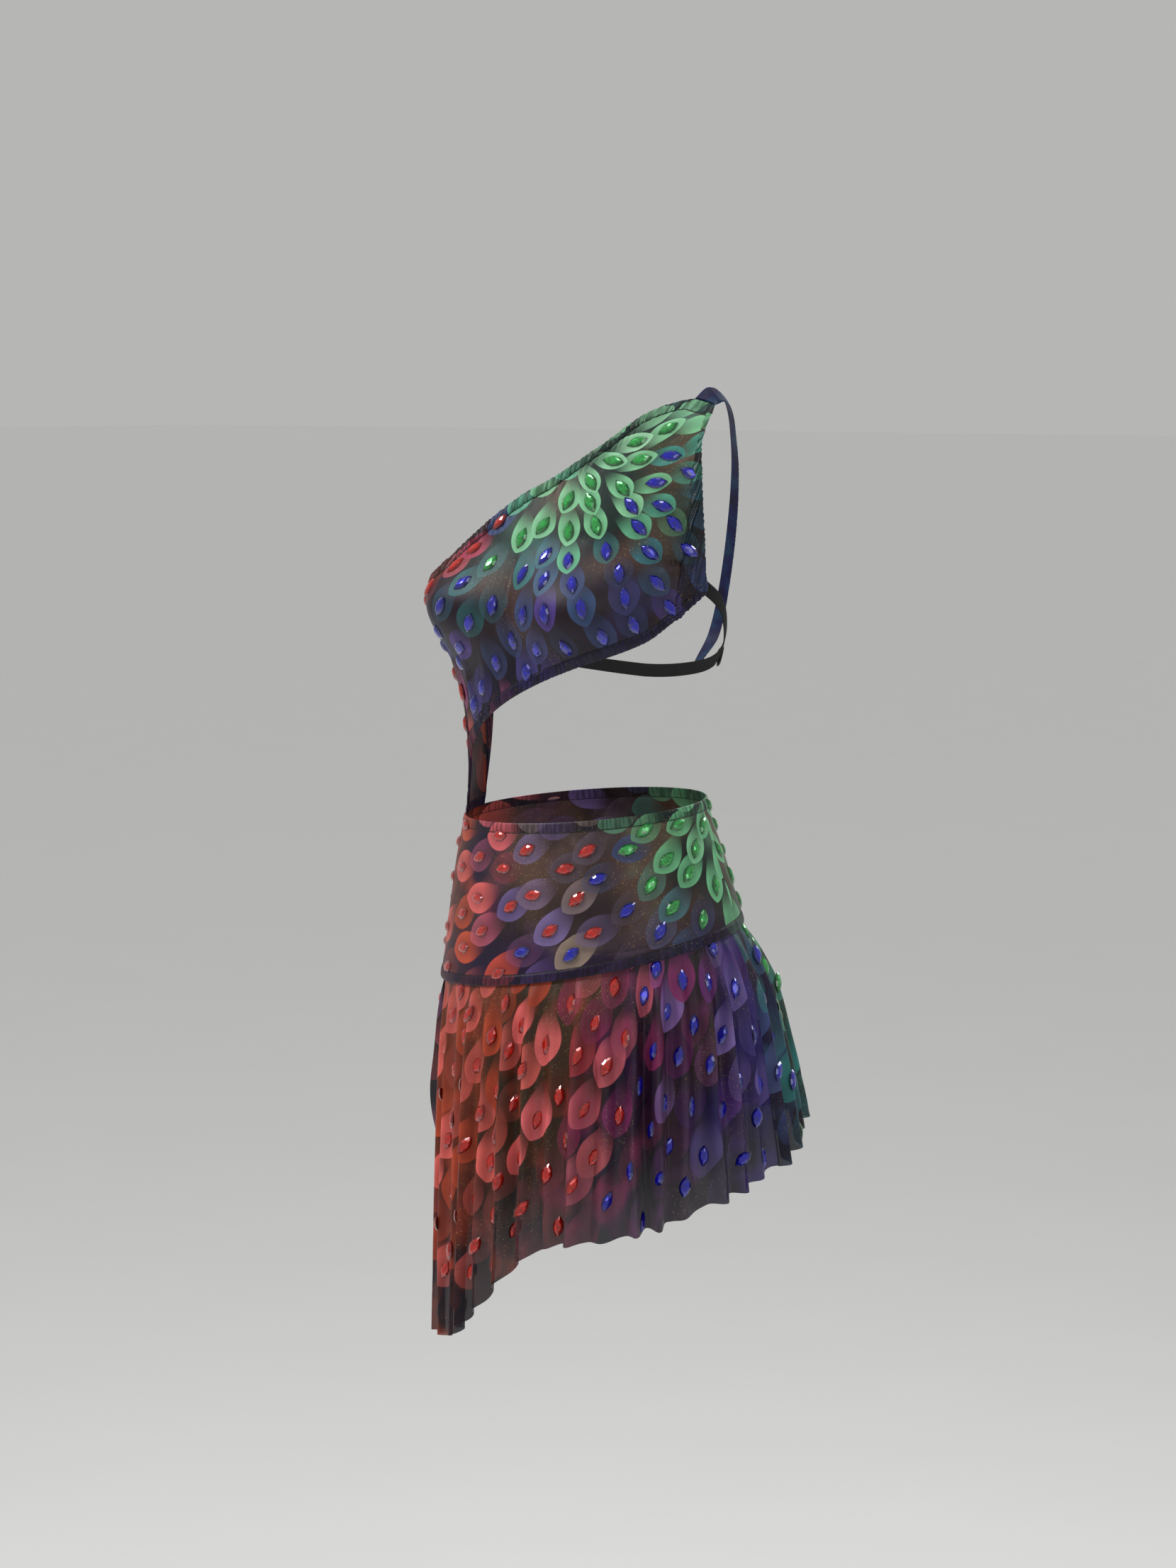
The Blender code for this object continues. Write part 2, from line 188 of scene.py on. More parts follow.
FIGURE = (
    Level(-0.60, 0.158, 0.120, 0.018),
    Level(-0.23, 0.156, 0.120, 0.018),
    Level(-0.18, 0.150, 0.114, 0.018),
    Level(-0.14, 0.143, 0.108, 0.015),
    Level(-0.09, 0.131, 0.099, 0.009),
    Level(-0.045, 0.118, 0.090, 0.004),
    Level(0.00, 0.110, 0.084, 0.000),
    Level(0.05, 0.118, 0.088, -0.002),
    Level(0.10, 0.133, 0.097, -0.002),
    Level(0.15, 0.143, 0.104, 0.000),
    Level(0.20, 0.152, 0.101, 0.004),
    Level(0.25, 0.160, 0.090, 0.009),
    Level(0.30, 0.166, 0.070, 0.013),
    Level(0.34, 0.170, 0.046, 0.016),
    Level(0.365, 0.172, 0.004, 0.018),
)
UPPER_EDGE = (
    Edge(-103, 0.150), Edge(-90, 0.150), Edge(-60, 0.160), Edge(-42, 0.172), Edge(-31, 0.188),
    Edge(-24, 0.206), Edge(-7, 0.238), Edge(8, 0.264), Edge(21, 0.302), Edge(30, 0.335),
    Edge(36, 0.349), Edge(43, 0.358), Edge(53, 0.358), Edge(56, 0.326), Edge(61, 0.292),
    Edge(67, 0.250), Edge(72, 0.218), Edge(77, 0.185), Edge(79, 0.174),
)
LOWER_EDGE = (
    Edge(-103, 0.070), Edge(-96, 0.020), Edge(-90, -0.030), Edge(-87, -0.080), Edge(-55.5, -0.080),
    Edge(-52.5, -0.030), Edge(-49, 0.006), Edge(-36, 0.030), Edge(-23, 0.046), Edge(-1, 0.071),
    Edge(25, 0.097), Edge(55, 0.121), Edge(66, 0.138), Edge(73, 0.151), Edge(79, 0.162),
)
BAND_HEIGHT = (
    Edge(79, 0.168), Edge(95, 0.150), Edge(110, 0.124), Edge(126, 0.100), Edge(150, 0.085),
    Edge(180, 0.078), Edge(232, 0.090), Edge(257, 0.105),
)
FLOUNCE = (
    Flare(-60, -0.556, 0.007), Flare(-51, -0.547, 0.007), Flare(-30, -0.535, 0.009),
    Flare(-12, -0.492, 0.012), Flare(5, -0.441, 0.014), Flare(18, -0.420, 0.016),
    Flare(35, -0.411, 0.018), Flare(60, -0.388, 0.022), Flare(95, -0.356, 0.034),
    Flare(130, -0.336, 0.044), Flare(180, -0.360, 0.055), Flare(230, -0.385, 0.048),
    Flare(265, -0.400, 0.036), Flare(300, -0.410, 0.022),
)


@dataclass(frozen=True)
class Figure:
    """The general figure that the dress is worn on, read by angle and height."""

    shoulder_slope: float = 0.25
    slope_from: float = 0.18
    slope_over: float = 0.175
    cup_middle: float = 0.078
    cup_height: float = 0.148
    cup_radius: float = 0.066
    cup_depth: float = 0.030
    cup_bridge: float = 0.55
    cup_spread: float = 0.15
    cup_fade: float = 0.3
    half_width: Curve = Curve(FIGURE, "height", "half_width")
    half_depth: Curve = Curve(FIGURE, "height", "half_depth")
    middle_y: Curve = Curve(FIGURE, "height", "middle_y")

    def point(self, angle: np.ndarray, height: np.ndarray) -> np.ndarray:
        """The figure's points.

        Args:
            angle: degrees from the front.
            height: metres above the waist.

        Returns:
            The points, with x, y and z along the last axis.
        """
        angle, height = np.broadcast_arrays(np.asarray(angle, float), np.asarray(height, float))
        turn = np.radians(angle)
        x = self.half_width(height) * np.sin(turn)
        y = self.middle_y(height) - self.half_depth(height) * np.cos(turn)
        drop = self.shoulder_slope * np.abs(x) * ease_in((height - self.slope_from) / self.slope_over)
        z = height - drop
        beside = np.abs(x) - self.cup_middle
        beside = np.where(beside > 0, beside, beside * self.cup_bridge)
        away = np.minimum(np.hypot(beside, z - self.cup_height) / self.cup_radius, 1.0)
        bulge = self.cup_depth * (np.cos(np.pi * away) + 1) / 2 * ease_in(np.cos(turn) / self.cup_fade)
        return np.stack((x + self.cup_spread * bulge * np.copysign(1, x), y - bulge, z), axis=-1)

    def facing(self, angle: np.ndarray, height: np.ndarray) -> np.ndarray:
        """The figure's outward directions at those places."""
        turn, rise = 1.0, 0.003
        across = self.point(angle + turn, height) - self.point(angle - turn, height)
        up = self.point(angle, height + rise) - self.point(angle, height - rise)
        return unit(np.cross(across, up))


FORM = Figure()
UPPER = Curve(UPPER_EDGE, "angle", "height")
LOWER = Curve(LOWER_EDGE, "angle", "height")
BAND = Curve(BAND_HEIGHT, "angle", "height")
HEM = Curve(FLOUNCE, "angle", "hem")
FLARE = Curve(FLOUNCE, "angle", "flare")


def waist_edge(angle: np.ndarray) -> np.ndarray:
    """The height of the yoke's top edge."""
    return -0.040 + 0.012 * np.sin(np.radians(angle - 28))


def yoke_hem(angle: np.ndarray) -> np.ndarray:
    """The height of the yoke's turned hem."""
    return -0.176 + 0.032 * np.sin(np.radians(angle - 28))


def evenly_by(places: np.ndarray, weight: np.ndarray, count: int) -> np.ndarray:
    """Places that are closer together where the weight is larger.

    Args:
        places: closely spaced places in order.
        weight: the weight at each of them.
        count: how many places to return.

    Returns:
        The new places, both ends included.
    """
    steps = np.diff(places) * (weight[1:] + weight[:-1]) / 2
    total = np.concatenate(([0.0], np.cumsum(steps)))
    return np.interp(np.linspace(0, total[-1], count), total, places)


def shares_with_edges(count: int, edge: float = 0.10, extra: float = 2.5) -> np.ndarray:
    """Shares from 0 to 1, closer together near both ends."""
    share = np.linspace(0, 1, 400)
    return evenly_by(share, 1 + extra * (bell(share, edge) + bell(1 - share, edge)), count)


class Cloth:
    """A grid of places on cloth, from which its thin closed shell is made."""

    def __init__(self, name: str, points: np.ndarray, facing: np.ndarray, flat: np.ndarray) -> None:
        """Keeps the grid.

        edge is how far each place is from the nearest edge with a casing, and lower is how near it is to the
        lower edge: 0 or 1 on cloth with casings, and a share of the way down on the skirt.

        Args:
            name: the piece's name.
            points: the inner side's points, by column and row.
            facing: the outward directions there.
            flat: each point's place on the unrolled cloth, in metres.
        """
        self.name = name
        self.points = points
        self.facing = facing
        self.flat = flat
        self.thickness = np.full(points.shape[:2], CLOTH)
        self.edge = np.full(points.shape[:2], 1.0)
        self.lower = np.zeros(points.shape[:2])

    def mark_casings(self, to_top: np.ndarray, to_bottom: np.ndarray) -> None:
        """Keeps how far each place is from the nearer casing's edge, and whether that is the lower one."""
        self.edge = np.minimum(to_top, to_bottom)
        self.lower = (to_bottom < to_top).astype(float)

    def move(self, distance: np.ndarray) -> None:
        """Moves the cloth outwards by a distance at each place."""
        self.points = self.points + self.facing * distance[..., None]

    def refresh_facing(self) -> None:
        """Works the outward directions out again from the grid."""
        self.facing = turned_outwards(self.points)

    def outer(self) -> np.ndarray:
        """The outer side's points."""
        return self.points + self.facing * self.thickness[..., None]

    def area(self) -> float:
        """The area of the cloth's outer side in square metres."""
        p = self.outer()
        first = np.cross(p[1:, :-1] - p[:-1, :-1], p[1:, 1:] - p[:-1, :-1])
        second = np.cross(p[1:, 1:] - p[:-1, :-1], p[:-1, 1:] - p[:-1, :-1])
        return float((np.linalg.norm(first, axis=-1) + np.linalg.norm(second, axis=-1)).sum() / 2)

    def build(self) -> bpy.types.Object:
        """Makes the closed shell.

        Returns:
            The new object, with the unrolled cloth as its UV map.
        """
        columns, rows = self.points.shape[:2]
        count = columns * rows
        outer = np.arange(count).reshape(columns, rows)
        inner = outer + count
        quads = []

        def add(a: np.ndarray, b: np.ndarray, c: np.ndarray, d: np.ndarray) -> None:
            """Adds the quads with these corners."""
            quads.append(np.stack([x.reshape(-1) for x in (a, b, c, d)], axis=-1))

        add(outer[:-1, :-1], outer[1:, :-1], outer[1:, 1:], outer[:-1, 1:])
        add(inner[:-1, :-1], inner[:-1, 1:], inner[1:, 1:], inner[1:, :-1])
        add(outer[1:, 0], outer[:-1, 0], inner[:-1, 0], inner[1:, 0])
        add(outer[:-1, -1], outer[1:, -1], inner[1:, -1], inner[:-1, -1])
        add(outer[0, :-1], outer[0, 1:], inner[0, 1:], inner[0, :-1])
        add(outer[-1, 1:], outer[-1, :-1], inner[-1, :-1], inner[-1, 1:])
        faces = np.concatenate(quads)
        points = np.concatenate((self.outer().reshape(-1, 3), self.points.reshape(-1, 3))) - STRAP_REST
        piece = make_piece(self.name, points, faces, np.tile(self.flat.reshape(-1, 2), (2, 1)))
        for name, values in (("edge", self.edge), ("lower", self.lower)):
            layer = piece.data.attributes.new(name, "FLOAT", "POINT")
            layer.data.foreach_set("value", np.tile(values.reshape(-1), 2).astype(np.float32))
        return piece


def make_piece(
    name: str, points: np.ndarray, faces: np.ndarray, flat: np.ndarray | None = None,
) -> bpy.types.Object:
    """Makes an object from points in the part's frame and faces.

    Args:
        name: the piece's name.
        points: its points.
        faces: its faces, as rows of point numbers.
        flat: a UV for each point, or None.

    Returns:
        The linked object.
    """
    mesh = bpy.data.meshes.new(name)
    mesh.from_pydata(points.tolist(), [], faces.tolist())
    if flat is not None:
        layer = mesh.uv_layers.new(name="flat")
        corners = np.empty(len(mesh.loops), np.int32)
        mesh.loops.foreach_get("vertex_index", corners)
        layer.data.foreach_set("uv", flat[corners].astype(np.float32).reshape(-1))
    mesh.shade_smooth()
    mesh.set_sharp_from_angle(angle=math.radians(SHARP_ANGLE))
    return link(name, mesh)


@dataclass(frozen=True)
class Crease:
    """One soft crease: a trough where its depth is negative."""

    angle: float
    height: float
    to_angle: float
    to_height: float
    width: float
    depth: float


def crease_relief(creases: tuple, angle: np.ndarray, height: np.ndarray) -> np.ndarray:
    """How far creases move cloth outwards.

    Args:
        creases: the creases.
        angle: the cloth's angles.
        height: its heights.

    Returns:
        The distance at each place.
    """
    girth, bend, taper = 0.135, 0.12, 0.7
    relief = np.zeros(np.broadcast(angle, height).shape)
    x, y = np.radians(angle) * girth, height
    for crease in creases:
        start = np.array((math.radians(crease.angle) * girth, crease.height))
        end = np.array((math.radians(crease.to_angle) * girth, crease.to_height))
        run = end - start
        length = float(np.hypot(*run))
        ahead = run / length
        along = ((x - start[0]) * ahead[0] + (y - start[1]) * ahead[1]) / length
        beside = (x - start[0]) * -ahead[1] + (y - start[1]) * ahead[0]
        arch = np.sin(np.pi * np.clip(along, 0, 1))
        bow = bend * length * arch * np.sign(crease.depth)
        relief = relief + crease.depth * arch ** taper * bell(beside - bow, crease.width)
    return relief


def ripples(along: np.ndarray, pitch: float, seed: float) -> np.ndarray:
    """Uneven ripples from -1 to 1 along a gathered edge."""
    phase = 2 * np.pi * along / pitch
    drift = 1.3 * np.sin(phase / 5.3 + seed) + 0.8 * np.sin(phase / 2.3 + 2 * seed)
    size = 0.7 + 0.3 * np.sin(phase / 3.7 + 3 * seed)
    return size * np.sin(phase + drift)


@dataclass(frozen=True)
class Fan:
    """A print of petals that spread in rings from one place on the unrolled cloth."""

    centre: tuple[float, float]
    first_step: float
    growth: float
    crowding: float = 1.04
    slide: float = 0.12
    tilt: float = 0.22
    turn_step: float = 0.618
    breadth: float = 1.0
    scatter: tuple = ((2.7, 4.9, 1.0), (5.3, 2.1, 2.0), (1.7, 3.7, 3.0))

    def ring_radius(self, ring: float) -> float:
        """The radius of a ring of stones."""
        return self.first_step * ring + self.growth * ring * ring

    def step(self, ring: float) -> float:
        """The distance between rings there."""
        return self.first_step + 2 * self.growth * ring

    def count(self, ring: float) -> int:
        """How many petals a full ring holds."""
        way_round = 2 * math.pi * self.ring_radius(ring)
        return int(math.floor(way_round / (self.crowding * self.step(ring))))

    def turn(self, ring: int, number: int) -> float:
        """A petal's turn from straight down, before it is scattered."""
        return (number - ring * self.turn_step) * 2 * math.pi / self.count(ring)

    def eye(self, ring: int, number: int) -> tuple[float, float, float]:
        """One petal's stone.

        Args:
            ring: the ring, from 1.
            number: the petal's number in it.

        Returns:
            The stone's two places on the unrolled cloth, and the turn of its axis from straight down.
        """
        step = self.step(ring)
        first, second, third = (
            math.sin(by_ring * ring + by_number * number + start)
            for by_ring, by_number, start in self.scatter
        )
        radius = self.ring_radius(ring) + self.slide * step * first
        turn = self.turn(ring, number) + self.slide * step * second / self.ring_radius(ring)
        return (
            self.centre[0] + radius * math.sin(turn),
            self.centre[1] - radius * math.cos(turn),
            turn + self.tilt * third,
        )

    def eyes(self, low: np.ndarray, high: np.ndarray) -> np.ndarray:
        """All stones whose places are inside a rectangle of the unrolled cloth."""
        corners = [(low[0], low[1]), (low[0], high[1]), (high[0], low[1]), (high[0], high[1])]
        reach = [math.hypot(x - self.centre[0], y - self.centre[1]) for x, y in corners]
        inside = low[0] <= self.centre[0] <= high[0] and low[1] <= self.centre[1] <= high[1]
        nearest = 0.0 if inside else max(min(reach) - np.hypot(*(high - low)), 0.0)
        found, ring = [], 1
        while self.ring_radius(ring) < max(reach) + self.step(ring):
            if self.ring_radius(ring) > nearest:
                half = self.count(ring) // 2 + 1
                middle = round(ring * self.turn_step)
                for number in range(middle - half, middle + half + 1):
                    if abs(self.turn(ring, number)) <= math.pi:
                        found.append(self.eye(ring, number))
            ring += 1
        eyes = np.array(found)
        return eyes[np.all((eyes[:, :2] > low) & (eyes[:, :2] < high), axis=1)]


class Gem(Enum):
    """The colours of the stones."""

    RED = "red"
    BLUE = "blue"
    GREEN = "green"


@dataclass
class Stones:
    """Navette stones gathered from all the panels, then made by Geometry Nodes for each colour."""

    length: float = 0.0200
    width: float = 0.0106
    height: float = 0.0032
    table: float = 0.46
    sink: float = 0.0004
    point: float = 2.1
    sides: int = 12
    off_cloth: float = 0.006
    places: dict = field(default_factory=lambda: {gem: [] for gem in Gem})

    def add(
        self, cloth: Cloth, fan: Fan, gem_at: Callable[[float, float, float], Gem], margin: float,
    ) -> None:
        """Puts a stone at each petal of a panel.

        Args:
            cloth: the panel's grid.
            fan: its print.
            gem_at: gives the stone's colour from its two places and its distance from the fan's centre.
            margin: how far stones stay from the panel's edges.
        """
        outer = cloth.outer()
        flat = cloth.flat
        low, high = flat.reshape(-1, 2).min(0), flat.reshape(-1, 2).max(0)
        across, up = np.gradient(flat, axis=0), np.gradient(flat, axis=1)
        side, rise = np.gradient(outer, axis=0), np.gradient(outer, axis=1)
        rim = np.zeros(flat.shape[:2], bool)
        rim[0], rim[-1], rim[:, 0], rim[:, -1] = True, True, True, True
        edges = outer[rim]
        for u, v, turn in fan.eyes(low, high):
            gap = np.hypot(flat[..., 0] - u, flat[..., 1] - v)
            i, j = np.unravel_index(int(gap.argmin()), gap.shape)
            if gap[i, j] > self.off_cloth:
                continue
            frame_2d = np.stack((across[i, j], up[i, j]), axis=-1)
            steps = np.linalg.solve(frame_2d, np.array((u, v)) - flat[i, j])
            surface = np.stack((side[i, j], rise[i, j]), axis=-1)
            point = outer[i, j] + surface @ np.clip(steps, -1, 1)
            if np.linalg.norm(edges - point, axis=-1).min() < margin:
                continue
            along = surface @ np.linalg.solve(frame_2d, np.array((math.sin(turn), -math.cos(turn))))
            reach = math.hypot(u - fan.centre[0], v - fan.centre[1])
            self.places[gem_at(u, v, reach)].append(
                (point - cloth.facing[i, j] * self.sink - STRAP_REST, unit(along), cloth.facing[i, j])
            )

    def shape(self) -> bpy.types.Object:
        """One faceted navette, its length along Y and its table towards +Z."""
        body = bmesh.new()
        base, girdle_top, shoulder = (1.0, 0.0), (1.0, 0.22), (0.74, 0.74)
        levels = []
        for scale, rise in (base, girdle_top, shoulder, (self.table, 1.0)):
            level = []
            for k in range(self.sides):
                turn = 2 * math.pi * k / self.sides
                y = math.cos(turn)
                x = math.copysign(1 - abs(y) ** self.point, math.sin(turn))
                level.append(body.verts.new((
                    x * self.width / 2 * scale, y * self.length / 2 * scale, rise * self.height,
                )))
            levels.append(level)
        pairs = [(k, (k + 1) % self.sides) for k in range(self.sides)]
        for lower, upper in zip(levels, levels[1:]):
            for k, after in pairs:
                body.faces.new((lower[after], lower[k], upper[k], upper[after]))
        body.faces.new(levels[0])
        crown = body.verts.new((0.0, 0.0, self.height * 1.02))
        for k, after in pairs:
            body.faces.new((levels[-1][after], levels[-1][k], crown))
        bmesh.ops.recalc_face_normals(body, faces=body.faces)
        bmesh.ops.triangulate(body, faces=body.faces)
        mesh = bpy.data.meshes.new("stone_shape")
        body.to_mesh(mesh)
        body.free()
        girdle = mesh.attributes.new("girdle", "FLOAT", "POINT")
        for vertex in mesh.vertices:
            x, y, _ = vertex.co
            girdle.data[vertex.index].value = math.hypot(2 * x / self.width, 2 * y / self.length)
        return link("stone_shape", mesh)

    def build(self, finishes: dict[Gem, bpy.types.Material]) -> list[bpy.types.Object]:
        """Makes the stones of each colour as one piece.

        Args:
            finishes: the material of each colour.

        Returns:
            The pieces.
        """
        shape = self.shape()
        pieces = []
        for gem, rows in self.places.items():
            piece = Scatter(f"stones_{gem.value}", np.array(rows), shape, finishes[gem]).build()
            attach(piece, BODY)
            pieces.append(piece)
        bpy.data.objects.remove(shape, do_unlink=True)
        return pieces


class Scatter:
    """Copies of one small shape on given points, made by Geometry Nodes and then realized."""

    def __init__(
        self, name: str, rows: np.ndarray, shape: bpy.types.Object, finish: bpy.types.Material,
    ) -> None:
        """Keeps what the copies need.

        Args:
            name: the piece's name.
            rows: a point, an along direction and an outward direction for each copy.
            shape: the object to copy, its length along Y and its outer side towards +Z.
            finish: the copies' material.
        """
        self.name = name
        self.rows = rows
        self.shape = shape
        self.finish = finish

    def tree(self) -> bpy.types.NodeTree:
        """The node tree, with the shape and its size as named inputs."""
        tree = bpy.data.node_groups.new(self.name, "GeometryNodeTree")
        for name, way, kind in (
            ("Geometry", "INPUT", "Geometry"), ("Shape", "INPUT", "Object"), ("Size", "INPUT", "Float"),
            ("Finish", "INPUT", "Material"), ("Geometry", "OUTPUT", "Geometry"),
        ):
            tree.interface.new_socket(name, in_out=way, socket_type=f"NodeSocket{kind}")
        start, end, shape, along, out, turn, aim, copies, real, dress = (tree.nodes.new(kind) for kind in (
            "NodeGroupInput", "NodeGroupOutput", "GeometryNodeObjectInfo",
            "GeometryNodeInputNamedAttribute", "GeometryNodeInputNamedAttribute",
            "FunctionNodeAlignRotationToVector", "FunctionNodeAlignRotationToVector",
            "GeometryNodeInstanceOnPoints", "GeometryNodeRealizeInstances", "GeometryNodeSetMaterial",
        ))
        for node, name in ((along, "along"), (out, "out")):
            node.data_type = "FLOAT_VECTOR"
            node.inputs["Name"].default_value = name
        turn.axis = "Z"
        aim.axis = "Y"
        aim.pivot_axis = "Z"
        for source, output, target, socket in (
            (start, "Shape", shape, "Object"), (start, "Geometry", copies, "Points"),
            (shape, "Geometry", copies, "Instance"), (out, "Attribute", turn, "Vector"),
            (turn, "Rotation", aim, "Rotation"), (along, "Attribute", aim, "Vector"),
            (aim, "Rotation", copies, "Rotation"), (start, "Size", copies, "Scale"),
            (copies, "Instances", real, "Geometry"), (real, "Geometry", dress, "Geometry"),
            (start, "Finish", dress, "Material"), (dress, "Geometry", end, "Geometry"),
        ):
            tree.links.new(source.outputs[output], target.inputs[socket])
        return tree

    def build(self) -> bpy.types.Object:
        """Makes the copies.

        Returns:
            One plain mesh object.
        """
        points = bpy.data.meshes.new(self.name + "_points")
        points.from_pydata(self.rows[:, 0].tolist(), [], [])
        for number, name in ((1, "along"), (2, "out")):
            layer = points.attributes.new(name, "FLOAT_VECTOR", "POINT")
            layer.data.foreach_set("vector", self.rows[:, number].astype(np.float32).reshape(-1))
        carrier = link(self.name + "_points", points)
        tree = self.tree()
        modifier = carrier.modifiers.new("copies", "NODES")
        modifier.node_group = tree
        values = {"Shape": self.shape, "Size": 1.0, "Finish": self.finish}
        for item in tree.interface.items_tree:
            if item.in_out == "INPUT" and item.name in values:
                modifier[item.identifier] = values[item.name]
        carrier.update_tag()
        bpy.context.view_layer.update()
        graph = bpy.context.evaluated_depsgraph_get()
        mesh = bpy.data.meshes.new_from_object(carrier.evaluated_get(graph), depsgraph=graph)
        mesh.name = self.name
        carrier.modifiers.remove(modifier)
        bpy.data.objects.remove(carrier, do_unlink=True)
        return link(self.name, mesh)


class Wire:
    """One socket of a material's tree, on which Python's operators add Math nodes."""

    def __init__(self, sheet: "Dye", socket: bpy.types.NodeSocket) -> None:
        """Keeps the socket and the tree it is in."""
        self.sheet = sheet
        self.socket = socket

    def _math(self, operation: str, *values: object) -> "Wire":
        """A Math node on these values."""
        node = self.sheet.add("ShaderNodeMath", {"operation": operation}, dict(enumerate(values)))
        return Wire(self.sheet, node.outputs[0])

    def __add__(self, other: object) -> "Wire":
        """The sum."""
        return self._math("ADD", self, other)

    __radd__ = __add__

    def __mul__(self, other: object) -> "Wire":
        """The product."""
        return self._math("MULTIPLY", self, other)

    __rmul__ = __mul__

    def __sub__(self, other: object) -> "Wire":
        """The difference."""
        return self._math("SUBTRACT", self, other)

    def __rsub__(self, other: object) -> "Wire":
        """The difference, the other way round."""
        return self._math("SUBTRACT", other, self)

    def __truediv__(self, other: object) -> "Wire":
        """The quotient."""
        return self._math("DIVIDE", self, other)

    def __rtruediv__(self, other: object) -> "Wire":
        """The quotient, the other way round."""
        return self._math("DIVIDE", other, self)

    def __pow__(self, other: object) -> "Wire":
        """The power."""
        return self._math("POWER", self, other)

    def apply(self, operation: str, *values: object) -> "Wire":
        """Any other Math node on this socket."""
        return self._math(operation, self, *values)

    def soft(self, start: float, end: float) -> "Wire":
        """A soft step from 0 at start to 1 at end."""
        node = self.sheet.add(
            "ShaderNodeMapRange", {"interpolation_type": "SMOOTHSTEP"},
            {"Value": self, "From Min": start, "From Max": end},
        )
        return Wire(self.sheet, node.outputs[0])


class Dye:
    """A material's node tree, built with one method for any node."""

    def __init__(self, name: str) -> None:
        """Makes an empty material with one Principled shader."""
        self.material = bpy.data.materials.new(name)
        self.material.use_nodes = True
        self.tree = self.material.node_tree
        self.shader = self.tree.nodes["Principled BSDF"]

    def add(self, kind: str, settings: dict | None = None, inputs: dict | None = None) -> bpy.types.Node:
        """Adds a node.

        Args:
            kind: the node's type.
            settings: its settings, which are set first.
            inputs: values or links of its sockets, by name or number.

        Returns:
            The node.
        """
        node = self.tree.nodes.new(kind)
        for name, value in (settings or {}).items():
            setattr(node, name, value)
        for name, value in (inputs or {}).items():
            self.feed(node.inputs[name], value)
        return node

    def feed(self, socket: bpy.types.NodeSocket, value: object) -> None:
        """Links a wire to a socket, or sets the socket's own value, a colour as three numbers."""
        if isinstance(value, Wire):
            self.tree.links.new(value.socket, socket)
        else:
            socket.default_value = (*value, 1.0) if socket.type == "RGBA" else value

    def finish(self, **inputs: object) -> bpy.types.Material:
        """Feeds the shader's sockets, named with _ for each space, and returns the material."""
        for name, value in inputs.items():
            self.feed(self.shader.inputs[name.replace("_", " ")], value)
        return self.material

    def wire(
        self, kind: str, settings: dict | None = None, inputs: dict | None = None, output: int | str = 0,
    ) -> Wire:
        """Adds a node and returns one of its outputs."""
        return Wire(self, self.add(kind, settings, inputs).outputs[output])

    def flat(self) -> Wire:
        """Each place on the unrolled cloth."""
        return self.wire("ShaderNodeUVMap", {"uv_map": "flat"})

    def place(self) -> Wire:
        """Each place on the piece."""
        return self.wire("ShaderNodeTexCoord", output="Object")

    def kept(self, name: str) -> Wire:
        """A number that the mesh keeps at each point."""
        return self.wire("ShaderNodeAttribute", {"attribute_name": name}, output="Fac")

    def moved(self, where: Wire, **values: tuple[float, float, float]) -> Wire:
        """A place with a Mapping node's Location or Scale on it."""
        return self.wire("ShaderNodeMapping", None, {"Vector": where, **values})

    def parts(self, value: Wire, kind: str = "ShaderNodeSeparateXYZ") -> list[Wire]:
        """The three parts of a place, or of a colour."""
        node = self.add(kind, None, {0: value})
        return [Wire(self, socket) for socket in list(node.outputs)[:3]]

    def ramp(self, at: Wire, stops: tuple) -> Wire:
        """A colour ramp.

        Args:
            at: the place on it.
            stops: pairs of a place and a colour.

        Returns:
            The colour.
        """
        node = self.add("ShaderNodeValToRGB", None, {0: at})
        elements = node.color_ramp.elements
        elements.remove(elements[1])
        for number, (place, colour) in enumerate(stops):
            stop = elements[0] if number == 0 else elements.new(place)
            stop.position = place
            stop.color = (*colour, 1.0)
        return Wire(self, node.outputs[0])

    def mix(self, share: Wire | float, first: Wire | tuple, second: Wire | tuple) -> Wire:
        """Two colours mixed by a share."""
        settings = {"data_type": "RGBA", "blend_type": "MIX", "clamp_factor": True}
        node = self.add("ShaderNodeMix", settings, {0: share, 6: first, 7: second})
        return Wire(self, node.outputs[2])

    def shaded(self, share: Wire, colour: Wire, darkness: float) -> Wire:
        """A colour mixed by a share with its own darker shade."""
        return self.mix(share, colour, self.mix(darkness, colour, BLACK))

    def noise(self, where: Wire, scale: float, detail: float = 2.0) -> Wire:
        """Noise from 0 to 1 at a scale."""
        inputs = {"Vector": where, "Scale": scale, "Detail": detail}
        return self.wire("ShaderNodeTexNoise", {"noise_dimensions": "3D"}, inputs)

    def bump(self, height: Wire, distance: float, strength: float, over: Wire | None = None) -> Wire:
        """A bumped normal."""
        inputs = {"Height": height, "Distance": distance, "Strength": strength}
        if over is not None:
            inputs["Normal"] = over
        return self.wire("ShaderNodeBump", None, inputs)


BLACK = (0.0, 0.0, 0.0)
GRAIN = 2600.0


def rgb(red: float, green: float, blue: float) -> tuple[float, float, float]:
    """A colour seen on a screen, from 0 to 255, as linear light."""
    return tuple(((c / 255 + 0.055) / 1.055) ** 2.4 if c > 10 else c / 3294 for c in (red, green, blue))


